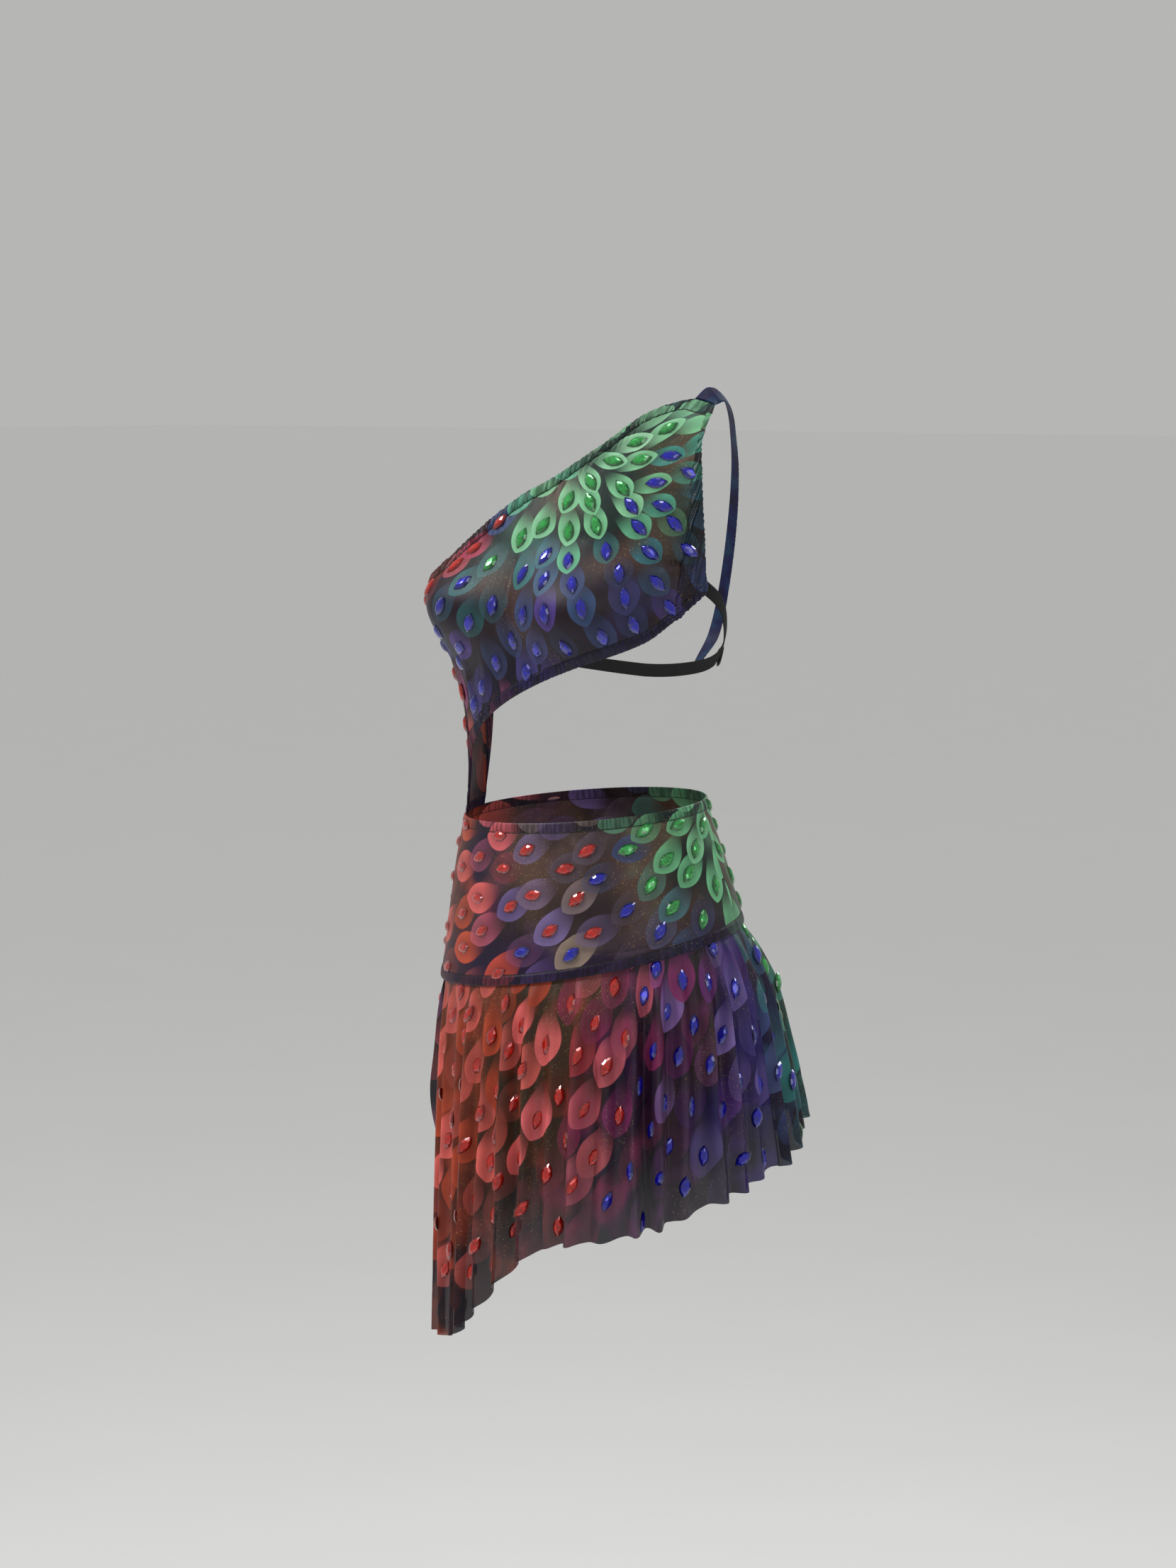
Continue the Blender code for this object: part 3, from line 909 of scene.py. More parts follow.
@dataclass(frozen=True)
class Petal:
    """The form and shade of one petal. Lengths are in steps between rings."""

    tip: float = 0.56
    length: float = 1.70
    tip_round: float = 0.74
    root_round: float = 1.15
    half_breadth: float = 1.50
    bend: float = 0.12
    bend_range: float = 0.20
    soft_edge: float = 0.03
    fade: tuple[float, float] = (0.38, 0.95)
    core_along: float = 1.15
    core_across: float = 1.9
    core_edge: tuple[float, float] = (0.25, 0.85)
    core_shade: float = 0.34
    root_edge: tuple[float, float] = (0.40, 0.9)
    root_shade: float = 0.40
    near_centre: float = 0.6
    colour_range: float = 0.14


@dataclass(frozen=True)
class Ground:
    """The cloudy ground, the sewn edges, the net, and the painted highlights, glints and furrow shade that
    all the printed panels share.
    """

    clouds: float = 16.0
    cloud_drift: float = 0.30
    smoke_round: float = 60
    smoke_out: float = 14
    smoke_edge: tuple[float, float] = (0.35, 0.75)
    smoke_shade: float = 0.45
    blush: float = 21.0
    blush_at: tuple[float, float, float] = (3.0, 1.0, 0.0)
    blush_edge: tuple[float, float] = (0.50, 0.72)
    hem_edge: tuple[float, float] = (0.62, 0.97)
    hem_blush_edge: tuple[float, float] = (0.47, 0.68)
    hem_blush: float = 0.55
    hem_colour: tuple = rgb(27, 25, 40)
    casing_edge: tuple[float, float] = (0.0088, 0.0094)
    casing_tint: float = 0.10
    lower_casing_tint: float = 0.62
    gathers: tuple[float, float, float] = (300.0, 30.0, 1.0)
    gathers_edge: tuple[float, float] = (0.42, 0.60)
    seam_at: float = 0.0092
    seam_lines: float = 1600.0
    seam_shade: float = 0.75
    seam_colour: tuple = rgb(12, 10, 16)
    glint_size: float = 0.0007
    glint_edge: tuple[float, float] = (0.965, 1.0)
    painted_glint_colour: tuple = rgb(215, 180, 120)
    highlight_patches: float = 11.0
    highlight_patch_edge: tuple[float, float] = (0.42, 0.72)
    painted_highlight_colour: tuple = rgb(150, 116, 92)
    gamma: float = 1.18
    saturation: float = 0.98
    brightness: float = 1.07
    drawn: tuple[float, float, float] = (420.0, 60.0, 1.0)
    drawn_depth: float = 0.0004
    net_depth: float = 0.0002
    roughness: float = 0.36
    shine: float = 0.24
    sheen: float = 0.03
    sheen_tint: tuple[float, float, float] = (0.85, 0.74, 0.62)


@dataclass(frozen=True)
class PetalPrint:
    """The finish of a printed mesh panel: its fan, its colours by zone, and how strong each part of it is."""

    name: str
    fan: Fan
    petals: tuple
    others: tuple
    grounds: tuple
    zone: Callable[[Wire, Wire, Wire], Wire]
    opacity: float
    casing: tuple
    sheer_hem: float = 0.0
    strength: float = 0.92
    other_share: float = 0.3
    faintest: float = 0.14
    burst: float = 0.07
    blush: float = 0.35
    painted_ruche_shade: float = 0.55
    painted_bronze_highlight: float = 0.34
    hem_shade: float = 0.0
    lower_ground: tuple = (0.0, -0.1, 0.0, BLACK)
    petal: Petal = Petal()
    ground: Ground = Ground()

    def material(self) -> bpy.types.Material:
        """Makes the printed mesh."""
        return PrintedMesh(self).panel()


class PrintedMesh(Dye):
    """The tree of one printed panel: petals in rings over a smoky ground."""

    def __init__(self, look: PetalPrint) -> None:
        """Finds each place on the unrolled cloth, and its reach and turn from the fan's centre.

        Args:
            look: the panel's finish.
        """
        super().__init__(look.name)
        self.look = look
        self.on_cloth = self.flat()
        self.u, self.v, _ = self.parts(self.on_cloth)
        x, y = self.u - look.fan.centre[0], self.v - look.fan.centre[1]
        self.reach = (x * x + y * y).apply("SQRT")
        self.turn = x.apply("ARCTAN2", 0 - y)
        self.edge = self.kept("edge")
        self.lower = self.kept("lower")
        self.blush = self.noise(self.moved(self.on_cloth, Location=look.ground.blush_at), look.ground.blush)

    def ring(self, ring: Wire) -> tuple[Wire, Wire]:
        """The petal of one ring that is nearest to each place.

        Args:
            ring: the ring's number.

        Returns:
            How much the petal covers, and its colour.
        """
        look, fan, form = self.look, self.look.fan, self.look.petal
        step = ring * (2 * fan.growth) + fan.first_step
        radius = (ring * fan.growth + fan.first_step) * ring
        count = (radius * (2 * math.pi / fan.crowding) / step).apply("FLOOR")
        number = (self.turn * count / (2 * math.pi) + ring * fan.turn_step + 0.5).apply("FLOOR")
        first, second, third = (
            (ring * by_ring + number * by_number + start).apply("SINE")
            for by_ring, by_number, start in fan.scatter
        )
        eye_reach = radius + step * first * fan.slide
        eye_turn = (number - ring * fan.turn_step) * (2 * math.pi) / count
        eye_turn = eye_turn + step * second * fan.slide / radius
        aside = self.turn - eye_turn
        out = self.reach * aside.apply("COSINE") - eye_reach
        beside = self.reach * aside.apply("SINE")
        lean = third * fan.tilt
        along = (out + beside * lean) / step
        across = (beside - out * lean) / step
        back = (0 - along).apply("MAXIMUM", 0.0)
        across = across + back * back * (second * form.bend_range + form.bend)
        share = ((form.tip - along) / form.length).apply("MAXIMUM", 0.0).apply("MINIMUM", 1.0)
        half = share ** form.tip_round * (1 - share) ** form.root_round * (form.half_breadth * fan.breadth)
        inside = half - across.apply("ABSOLUTE")
        both = self.wire("ShaderNodeCombineXYZ", None, {0: ring, 1: number})
        chance = self.wire("ShaderNodeTexWhiteNoise", {"noise_dimensions": "2D"}, {"Vector": both}, "Color")
        bright, pick, warm = self.parts(chance, "ShaderNodeSeparateColor")
        near = 1 - eye_reach.soft(look.burst, look.burst * 1.8)
        cover = inside.soft(0.0, form.soft_edge) * (1 - share.soft(*form.fade))
        shown = (bright + near * form.near_centre + look.faintest).apply("MINIMUM", 1.0)
        cover = cover * shown * look.strength
        eye_u = eye_reach * eye_turn.apply("SINE") + fan.centre[0]
        eye_v = fan.centre[1] - eye_reach * eye_turn.apply("COSINE")
        zone = look.zone(eye_u, eye_v, eye_reach) + (warm - 0.5) * form.colour_range
        is_other = pick.soft(1 - look.other_share - 0.02, 1 - look.other_share + 0.02)
        colour = self.mix(is_other, self.ramp(zone, look.petals), self.ramp(zone, look.others))
        core = ((along * form.core_along) ** 2 + (across * form.core_across) ** 2).apply("SQRT")
        shade = (1 - core.soft(*form.core_edge)) * form.core_shade
        shade = shade + share.soft(*form.root_edge) * form.root_shade
        return cover, self.shaded(shade, colour, 0.75)

    def smoky_ground(self, place: Wire) -> Wire:
        """The cloudy colours under the petals.

        Args:
            place: the place on the ramps of colours.

        Returns:
            The colour.
        """
        look, ground = self.look, self.look.ground
        round_and_out = {0: self.turn * self.reach * ground.smoke_round, 1: self.reach * ground.smoke_out}
        smoke = self.noise(self.wire("ShaderNodeCombineXYZ", None, round_and_out), 1.0, 3.0)
        blush = self.blush.soft(*ground.blush_edge) * look.blush
        colour = self.mix(blush, self.ramp(place, look.grounds), self.ramp(place, look.others))
        return self.shaded(smoke.soft(*ground.smoke_edge) * ground.smoke_shade, colour, 0.75)

    def sewn_edges(self, colour: Wire, casing: Wire) -> Wire:
        """The tint, the gathers with painted shade in their furrows, and the sewn line of the casings.

        Args:
            colour: the print's colour.
            casing: 1 on the casings and 0 elsewhere.

        Returns:
            The colour with them.
        """
        look, ground = self.look, self.look.ground
        tint = casing * (self.lower * ground.lower_casing_tint + ground.casing_tint)
        colour = self.mix(tint, colour, look.casing)
        gathers = self.noise(self.moved(self.on_cloth, Scale=ground.gathers), 1.0, 1.0)
        # Painted shade: the furrows of the gathers on the casings are darkened in the base colour.
        furrow_shade = gathers.soft(*ground.gathers_edge) * casing
        colour = self.shaded(furrow_shade * look.painted_ruche_shade, colour, 0.85)
        from_seam = ((self.edge - ground.seam_at) * ground.seam_lines).apply("ABSOLUTE").apply("MINIMUM", 1.0)
        return self.mix((1 - from_seam).soft(0.0, 0.6) * ground.seam_shade, colour, ground.seam_colour)

    def panel(self) -> bpy.types.Material:
        """Puts the print together, with its painted highlights, glints and furrow shade.

        Returns:
            The material.
        """
        look, fan, ground = self.look, self.look.fan, self.look.ground
        place = look.zone(self.u, self.v, self.reach)
        place = place + (self.noise(self.on_cloth, ground.clouds, 3.0) - 0.5) * ground.cloud_drift
        colour = self.smoky_ground(place)
        start, end, amount, tone = look.lower_ground
        low = (0 - self.v).soft(-start, -end) * amount
        colour = self.mix(low, colour, tone)
        root = (self.reach * (4 * fan.growth) + fan.first_step ** 2).apply("SQRT") + fan.first_step
        inner = (self.reach * 2 / root + 0.25).apply("FLOOR").apply("MAXIMUM", 1.0)
        covers = []
        for number in (inner + 1, inner):
            cover, petal = self.ring(number)
            colour = self.mix(cover, colour, petal)
            covers.append(cover)
        covered = covers[0].apply("MAXIMUM", covers[1])
        if look.hem_shade:
            depth = self.lower.soft(*ground.hem_edge) * look.hem_shade
            warmth = self.blush.soft(*ground.hem_blush_edge) * ground.hem_blush
            blurred = self.mix(warmth, ground.hem_colour, self.ramp(place, look.others))
            colour = self.mix(depth * (1 - covered * 0.30), colour, blurred)
        casing = 1 - self.edge.soft(*ground.casing_edge)
        colour = self.sewn_edges(colour, casing)
        grain = self.noise(self.on_cloth, GRAIN, 1.0)
        snap = {0: self.on_cloth, 1: (ground.glint_size,) * 3}
        cells = {"Vector": self.wire("ShaderNodeVectorMath", {"operation": "SNAP"}, snap)}
        glint = self.wire("ShaderNodeTexWhiteNoise", {"noise_dimensions": "3D"}, cells)
        glint = glint.soft(*ground.glint_edge)
        # Painted highlight: soft bronze patches of painted light on the open ground, kept off the petals, the
        # darker lower ground and the casings.
        highlight_patches = self.noise(self.on_cloth, ground.highlight_patches, 1.0).soft(*ground.highlight_patch_edge)
        painted_bronze_highlight = highlight_patches * (1 - covered) * (1 - low) * (1 - casing) * look.painted_bronze_highlight
        colour = self.mix(painted_bronze_highlight, colour, ground.painted_highlight_colour)
        colour = self.wire("ShaderNodeGamma", None, {"Color": colour, "Gamma": ground.gamma})
        colour = self.wire("ShaderNodeHueSaturation", None, {
            "Color": colour, "Saturation": ground.saturation, "Value": ground.brightness,
        })
        # Painted glints: tiny gold speckles of painted sparkle inside the highlight patches, mixed into the
        # base colour; the same speckles also lower the roughness.
        colour = self.mix(glint * highlight_patches * 0.5, colour, ground.painted_glint_colour)
        colour = self.shaded(grain * 0.25, colour, 0.6)
        drawn = self.noise(self.moved(self.on_cloth, Scale=ground.drawn), 1.0)
        return self.finish(
            Base_Color=colour,
            Roughness=ground.roughness - glint * 0.20 + grain * 0.10,
            Normal=self.bump(drawn, ground.drawn_depth, 0.35, self.bump(grain, ground.net_depth, 0.6)),
            Alpha=look.opacity - self.lower.soft(0.5, 1.0) * look.sheer_hem,
            Sheen_Weight=ground.sheen,
            Sheen_Roughness=0.35,
            Sheen_Tint=ground.sheen_tint,
            Specular_IOR_Level=ground.shine,
        )


@dataclass(frozen=True)
class StoneFinish:
    """A foiled resin stone, with the light that its foil sends back painted into its base colour."""

    gem: Gem
    deep: tuple
    bright: tuple
    flash_cells: float = 430.0

    def material(self) -> bpy.types.Material:
        """Makes the stone's material."""
        dye = Dye(f"stone_{self.gem.value}")
        cells = {"Vector": dye.place(), "Scale": self.flash_cells}
        cells = dye.wire("ShaderNodeTexVoronoi", {"feature": "F1"}, cells, "Color")
        flash, relief, _ = dye.parts(cells, "ShaderNodeSeparateColor")
        # Painted reflection: the base colour runs from the deep colour at the girdle to the bright one in the
        # middle, broken into painted flashes by small Voronoi cells.
        painted_foil_light = (1 - dye.kept("girdle").soft(0.50, 1.05)) * (flash * 0.75 + 0.25)
        return dye.finish(
            Base_Color=dye.mix(painted_foil_light, self.deep, self.bright),
            Metallic=flash.soft(0.3, 0.9) * 0.35 + 0.15,
            Roughness=0.20 - flash * 0.12,
            Normal=dye.bump(relief, 0.0003, 0.25),
            Coat_Weight=1.0,
            Coat_Roughness=0.03,
        )


@dataclass(frozen=True)
class RolledCasing:
    """The dark mesh of the shoulder strap, rolled round its elastic."""

    name: str = "strap_mesh"
    colours: tuple = (
        (0.30, rgb(12, 10, 30)), (0.48, rgb(20, 20, 62)), (0.62, rgb(20, 50, 76)), (0.75, rgb(32, 16, 58)),
    )
    clouds: float = 45.0

    def material(self) -> bpy.types.Material:
        """Makes the strap's material."""
        dye = Dye(self.name)
        flat = dye.flat()
        grain = dye.noise(flat, GRAIN, 1.0)
        return dye.finish(
            Base_Color=dye.ramp(dye.noise(flat, self.clouds, 3.0), self.colours),
            Roughness=grain * 0.15 + 0.45,
            Normal=dye.bump(grain, 0.0002, 0.6),
            Specular_IOR_Level=0.2,
        )


@dataclass(frozen=True)
class WovenElastic:
    """Black woven elastic, with ribs along it and picks across."""

    name: str = "elastic"
    ribs: float = 900.0
    picks: float = 720.0
    dark: tuple = rgb(5, 5, 6)
    light: tuple = rgb(22, 22, 25)

    def material(self) -> bpy.types.Material:
        """Makes the elastic's material."""
        dye = Dye(self.name)
        u, v, _ = dye.parts(dye.flat())
        rib = (v * (2 * math.pi * self.ribs)).apply("SINE")
        pick = (u * (2 * math.pi * self.picks)).apply("SINE")
        weave = rib * pick * 0.5 + 0.5
        return dye.finish(
            Base_Color=dye.mix(weave, self.dark, self.light),
            Roughness=weave * 0.2 + 0.55,
            Normal=dye.bump(weave, 0.0003, 0.8),
            Specular_IOR_Level=0.2,
        )


@dataclass(frozen=True)
class MouldedPlastic:
    """Gloss black plastic with faint handling marks."""

    name: str = "slider_plastic"
    marks: float = 900.0
    dark: tuple = rgb(8, 8, 9)
    light: tuple = rgb(22, 22, 24)

    def material(self) -> bpy.types.Material:
        """Makes the plastic's material."""
        dye = Dye(self.name)
        marks = dye.noise(dye.place(), self.marks)
        return dye.finish(
            Base_Color=dye.mix(marks, self.dark, self.light),
            Roughness=marks * 0.18 + 0.18,
            Normal=dye.bump(marks, 0.0001, 0.3),
        )


@dataclass(frozen=True)
class Thread:
    """Sewing thread."""

    name: str
    colour: tuple
    twist: float = 3000.0

    def material(self) -> bpy.types.Material:
        """Makes the thread's material."""
        dye = Dye(self.name)
        twist = dye.noise(dye.place(), self.twist, 1.0)
        return dye.finish(Base_Color=dye.mix(twist, self.colour, BLACK), Roughness=twist * 0.2 + 0.5)


@dataclass
class Stitching:
    """Rows of small stitches along the casings, made by Geometry Nodes."""

    pitch: float = 0.0030
    length: float = 0.0022
    radius: float = 0.00028
    proud: float = 0.0002
    rows: list = field(default_factory=list)

    def add(self, points: np.ndarray, facing: np.ndarray) -> None:
        """Sews along a line of places.

        Args:
            points: the line's points, in the figure's frame.
            facing: the outward directions there.
        """
        total = length_along(points)
        count = int(total[-1] / self.pitch)
        at = (np.arange(count) + 0.5) * self.pitch
        place = np.stack([np.interp(at, total, points[:, k]) for k in range(3)], axis=-1)
        out = unit(np.stack([np.interp(at, total, facing[:, k]) for k in range(3)], axis=-1))
        ahead = unit(np.gradient(place, axis=0))
        self.rows.extend(zip(place + out * self.proud - STRAP_REST, ahead, out))

    def shape(self) -> bpy.types.Object:
        """One stitch, its length along Y."""
        body = bmesh.new()
        bmesh.ops.create_cone(
            body, cap_ends=True, segments=5, radius1=self.radius, radius2=self.radius, depth=self.length,
            matrix=Matrix.Rotation(math.radians(90), 4, "X"),
        )
        mesh = bpy.data.meshes.new("stitch_shape")
        body.to_mesh(mesh)
        body.free()
        return link("stitch_shape", mesh)

    def build(self, finish: bpy.types.Material) -> bpy.types.Object:
        """Makes all the stitches as one piece."""
        shape = self.shape()
        piece = Scatter("stitching", np.array(self.rows), shape, finish).build()
        bpy.data.objects.remove(shape, do_unlink=True)
        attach(piece, BODY)
        return piece


def edge_slope(angle: np.ndarray, height: np.ndarray) -> np.ndarray:
    """How much shorter the way square to an edge is than the way straight down, at each of its places."""
    points = FORM.point(angle, height)
    run = np.gradient(points, axis=0)
    level = np.hypot(run[:, 0], run[:, 1])
    return level / np.maximum(np.linalg.norm(run, axis=-1), 1e-9)


def casing_line(cloth: Cloth, distance: np.ndarray) -> tuple[np.ndarray, np.ndarray]:
    """The line on the cloth that is a casing's width from an edge.

    Args:
        cloth: the panel's grid.
        distance: how far each of its places is from the edge.

    Returns:
        The line's points and the outward directions there.
    """
    lines = []
    for far, places, facing in zip(distance, cloth.outer(), cloth.facing):
        if far.max() >= CASING * 1.6:
            order = np.argsort(far)
            both = np.concatenate((places, facing), axis=-1)[order]
            lines.append([np.interp(CASING, far[order], column) for column in both.T])
    lines = np.array(lines)
    return lines[:, :3], lines[:, 3:]


@dataclass
class Bodice:
    """The sash from the right of the waist to the left shoulder, with ruched casings along its edges."""

    back: float = -103
    left: float = 79
    strip_lift: float = 0.004
    columns: int = 520
    rows: int = 84
    puff: float = 0.0011
    ruche: float = 0.0010
    ruche_pitch: float = 0.0052
    lower_ruche: float = 0.45
    crease_depth: float = 1.6
    crease_margin: float = 0.014
    level: float = 0.13
    steepest: float = 0.0018
    creases: tuple = (
        Crease(76, 0.176, 52, 0.190, 0.0030, -0.0022),
        Crease(75, 0.192, 57, 0.214, 0.0045, 0.0012),
        Crease(73, 0.214, 54, 0.246, 0.0040, 0.0011),
        Crease(66, 0.262, 44, 0.262, 0.0040, -0.0009),
        Crease(72, 0.226, 40, 0.230, 0.0055, -0.0008),
        Crease(58, 0.310, 40, 0.292, 0.0045, 0.0012),
        Crease(44, 0.340, 30, 0.296, 0.0050, 0.0009),
        Crease(34, 0.318, 22, 0.276, 0.0045, -0.0008),
        Crease(-20, 0.060, -6, 0.128, 0.0055, 0.0010),
        Crease(-34, 0.046, -24, 0.120, 0.0050, 0.0011),
        Crease(-10, 0.072, 2, 0.118, 0.0050, -0.0008),
        Crease(-44, 0.040, -38, 0.130, 0.0045, 0.0010),
        Crease(-54, 0.020, -52, 0.135, 0.0040, -0.0009),
        Crease(-62, -0.020, -60, 0.120, 0.0045, 0.0012),
        Crease(-72, -0.030, -74, 0.110, 0.0045, -0.0010),
        Crease(-82, -0.026, -88, 0.130, 0.0045, 0.0012),
        Crease(8, 0.232, 26, 0.206, 0.0070, -0.0006),
    )

    def cloth(self) -> Cloth:
        """Works the sash out.

        Returns:
            Its grid.
        """
        fine = np.linspace(self.back, self.left, 4000)
        runs = [
            np.linalg.norm(np.gradient(FORM.point(fine, edge), fine, axis=0), axis=-1)
            for edge in (UPPER(fine), self.lower_edge(fine))
        ]
        angle = evenly_by(fine, np.maximum(np.maximum(*runs), self.steepest), self.columns)
        top, bottom = UPPER(angle), self.lower_edge(angle)
        height = bottom[:, None] + (top - bottom)[:, None] * shares_with_edges(self.rows)[None, :]
        wide = np.broadcast_to(angle[:, None], height.shape)
        facing = FORM.facing(wide, height)
        lift = self.strip_lift * ease_in((-40 - wide) / 15) * ease_in(1 - np.abs(height) / 0.06)
        points = FORM.point(wide, height) + facing * (EASE + lift)[..., None]
        flat = self.flat(angle, height, length_up(FORM.point(wide, height)))
        cloth = Cloth("bodice", points, facing, flat)
        to_top = (top[:, None] - height) * edge_slope(angle, top)[:, None]
        to_bottom = (height - bottom[:, None]) * edge_slope(angle, bottom)[:, None]
        inside = ease_in(np.minimum(to_top, to_bottom) / self.crease_margin)
        cloth.move(crease_relief(self.creases, wide, height) * inside * self.crease_depth)
        self.gather(cloth, to_top, length_along(points[:, -1]), 0.4, 1.0)
        self.gather(cloth, to_bottom, length_along(points[:, 0]), 2.1, self.lower_ruche)
        cloth.mark_casings(to_top, to_bottom)
        self.seams = (casing_line(cloth, to_top), casing_line(cloth, to_bottom))
        cloth.refresh_facing()
        return cloth

    def lower_edge(self, angle: np.ndarray) -> np.ndarray:
        """The height of the lower edge, which stays above the yoke."""
        return np.maximum(LOWER(angle), waist_edge(angle) + SEAM)

    def flat(self, angle: np.ndarray, height: np.ndarray, up: np.ndarray) -> np.ndarray:
        """The unrolled cloth, which is laid flat from one level round the figure.

        Args:
            angle: the angle of each column.
            height: the height of each point.
            up: how far up its column each point is.

        Returns:
            The places.
        """
        bottom, top = height[:, 0], height[:, -1]
        at_level = np.array([
            np.interp(self.level, column, way) if column[0] < self.level < column[-1] else way[-1] / 2
            for column, way in zip(height, up)
        ])
        at_level = np.where((bottom < self.level) & (top > self.level), at_level, self.level - bottom)
        return unrolled(np.radians(angle) * GIRTH, self.level + up - at_level[:, None])

    def gather(self, cloth: Cloth, distance: np.ndarray, along: np.ndarray, seed: float, size: float) -> None:
        """Puffs and ruches the cloth over a casing.

        Args:
            cloth: the sash's grid.
            distance: how far each place is from the casing's edge.
            along: how far along the edge each column is.
            seed: what makes its ripples its own.
            size: how strong they are.
        """
        tube = np.sqrt(np.clip(1 - ((distance - CASING / 2) / (CASING / 2)) ** 2, 0, 1))
        cloth.thickness = cloth.thickness + self.puff * tube
        cloth.move(self.ruche * ripples(along, self.ruche_pitch, seed)[:, None] * tube * size)
        beyond = bell(distance - CASING - 0.003, 0.004) * (distance > CASING)
        wider = ripples(along, self.ruche_pitch * 1.7, seed)[:, None]
        cloth.move(0.35 * self.ruche * wider * beyond * size)
        cloth.move(-CASING_DIP * bell(distance - CASING, 0.0012))


@dataclass
class Yoke:
    """The fitted hip band, in two panels, with a casing at the waist and a turned hem."""

    seams: tuple[float, float] = (-80, 100)
    columns: int = 260
    rows: int = 66
    puff: float = 0.0007
    rib: float = 0.00018
    rib_pitch: float = 0.0026
    crease_margin: float = 0.018
    creases: tuple = (
        Crease(-60, -0.128, -18, -0.112, 0.0045, -0.0008),
        Crease(-6, -0.098, 22, -0.106, 0.0040, -0.0010),
        Crease(2, -0.112, 30, -0.124, 0.0045, 0.0009),
        Crease(-24, -0.124, 80, -0.128, 0.0013, -0.0013),
        Crease(26, -0.076, 52, -0.088, 0.0050, 0.0007),
        Crease(-40, -0.090, -10, -0.080, 0.0050, 0.0007),
        Crease(60, -0.150, 94, -0.132, 0.0050, 0.0008),
        Crease(-70, -0.170, -30, -0.160, 0.0050, 0.0007),
        Crease(112, -0.110, 150, -0.098, 0.0050, -0.0009),
        Crease(150, -0.150, 196, -0.138, 0.0060, 0.0009),
        Crease(176, -0.090, 214, -0.084, 0.0050, 0.0008),
        Crease(205, -0.126, 252, -0.140, 0.0055, -0.0009),
        Crease(232, -0.090, 268, -0.100, 0.0050, 0.0008),
    )

    def cloth(self, name: str, start: float, end: float) -> Cloth:
        """Works one panel out.

        Args:
            name: the piece's name.
            start: its first angle.
            end: its last angle.

        Returns:
            Its grid.
        """
        angle = np.linspace(start, end, self.columns)
        top, bottom = waist_edge(angle), yoke_hem(angle)
        height = bottom[:, None] + (top - bottom)[:, None] * shares_with_edges(self.rows)[None, :]
        wide = np.broadcast_to(angle[:, None], height.shape)
        facing = FORM.facing(wide, height)
        points = FORM.point(wide, height) + facing * YOKE_EASE
        across = length_along(points[:, self.rows // 2])
        across = across - np.interp(0.0, angle, across) if start < 0 else across
        up = length_up(points)
        cloth = Cloth(name, points, facing, unrolled(across, up - up[:, -1:]))
        to_top, to_bottom = top[:, None] - height, height - bottom[:, None]
        inside = ease_in(np.minimum(to_top, to_bottom) / self.crease_margin)
        cloth.move(crease_relief(self.creases, wide, height) * inside)
        for distance, seed, size in ((to_top, 1.1, 0.6), (to_bottom, 3.0, 1.0)):
            tube = np.clip(1 - ((distance - CASING / 2) / (CASING / 2)) ** 2, 0, 1) ** 0.35
            cloth.thickness = cloth.thickness + self.puff * tube
            cloth.move(self.rib * size * ripples(across, self.rib_pitch, seed)[:, None] * tube)
            cloth.move(-CASING_DIP * bell(distance - CASING, 0.0010))
        cloth.mark_casings(to_top, to_bottom)
        self.lines = tuple(casing_line(cloth, distance) for distance in (to_top, to_bottom))
        cloth.refresh_facing()
        return cloth


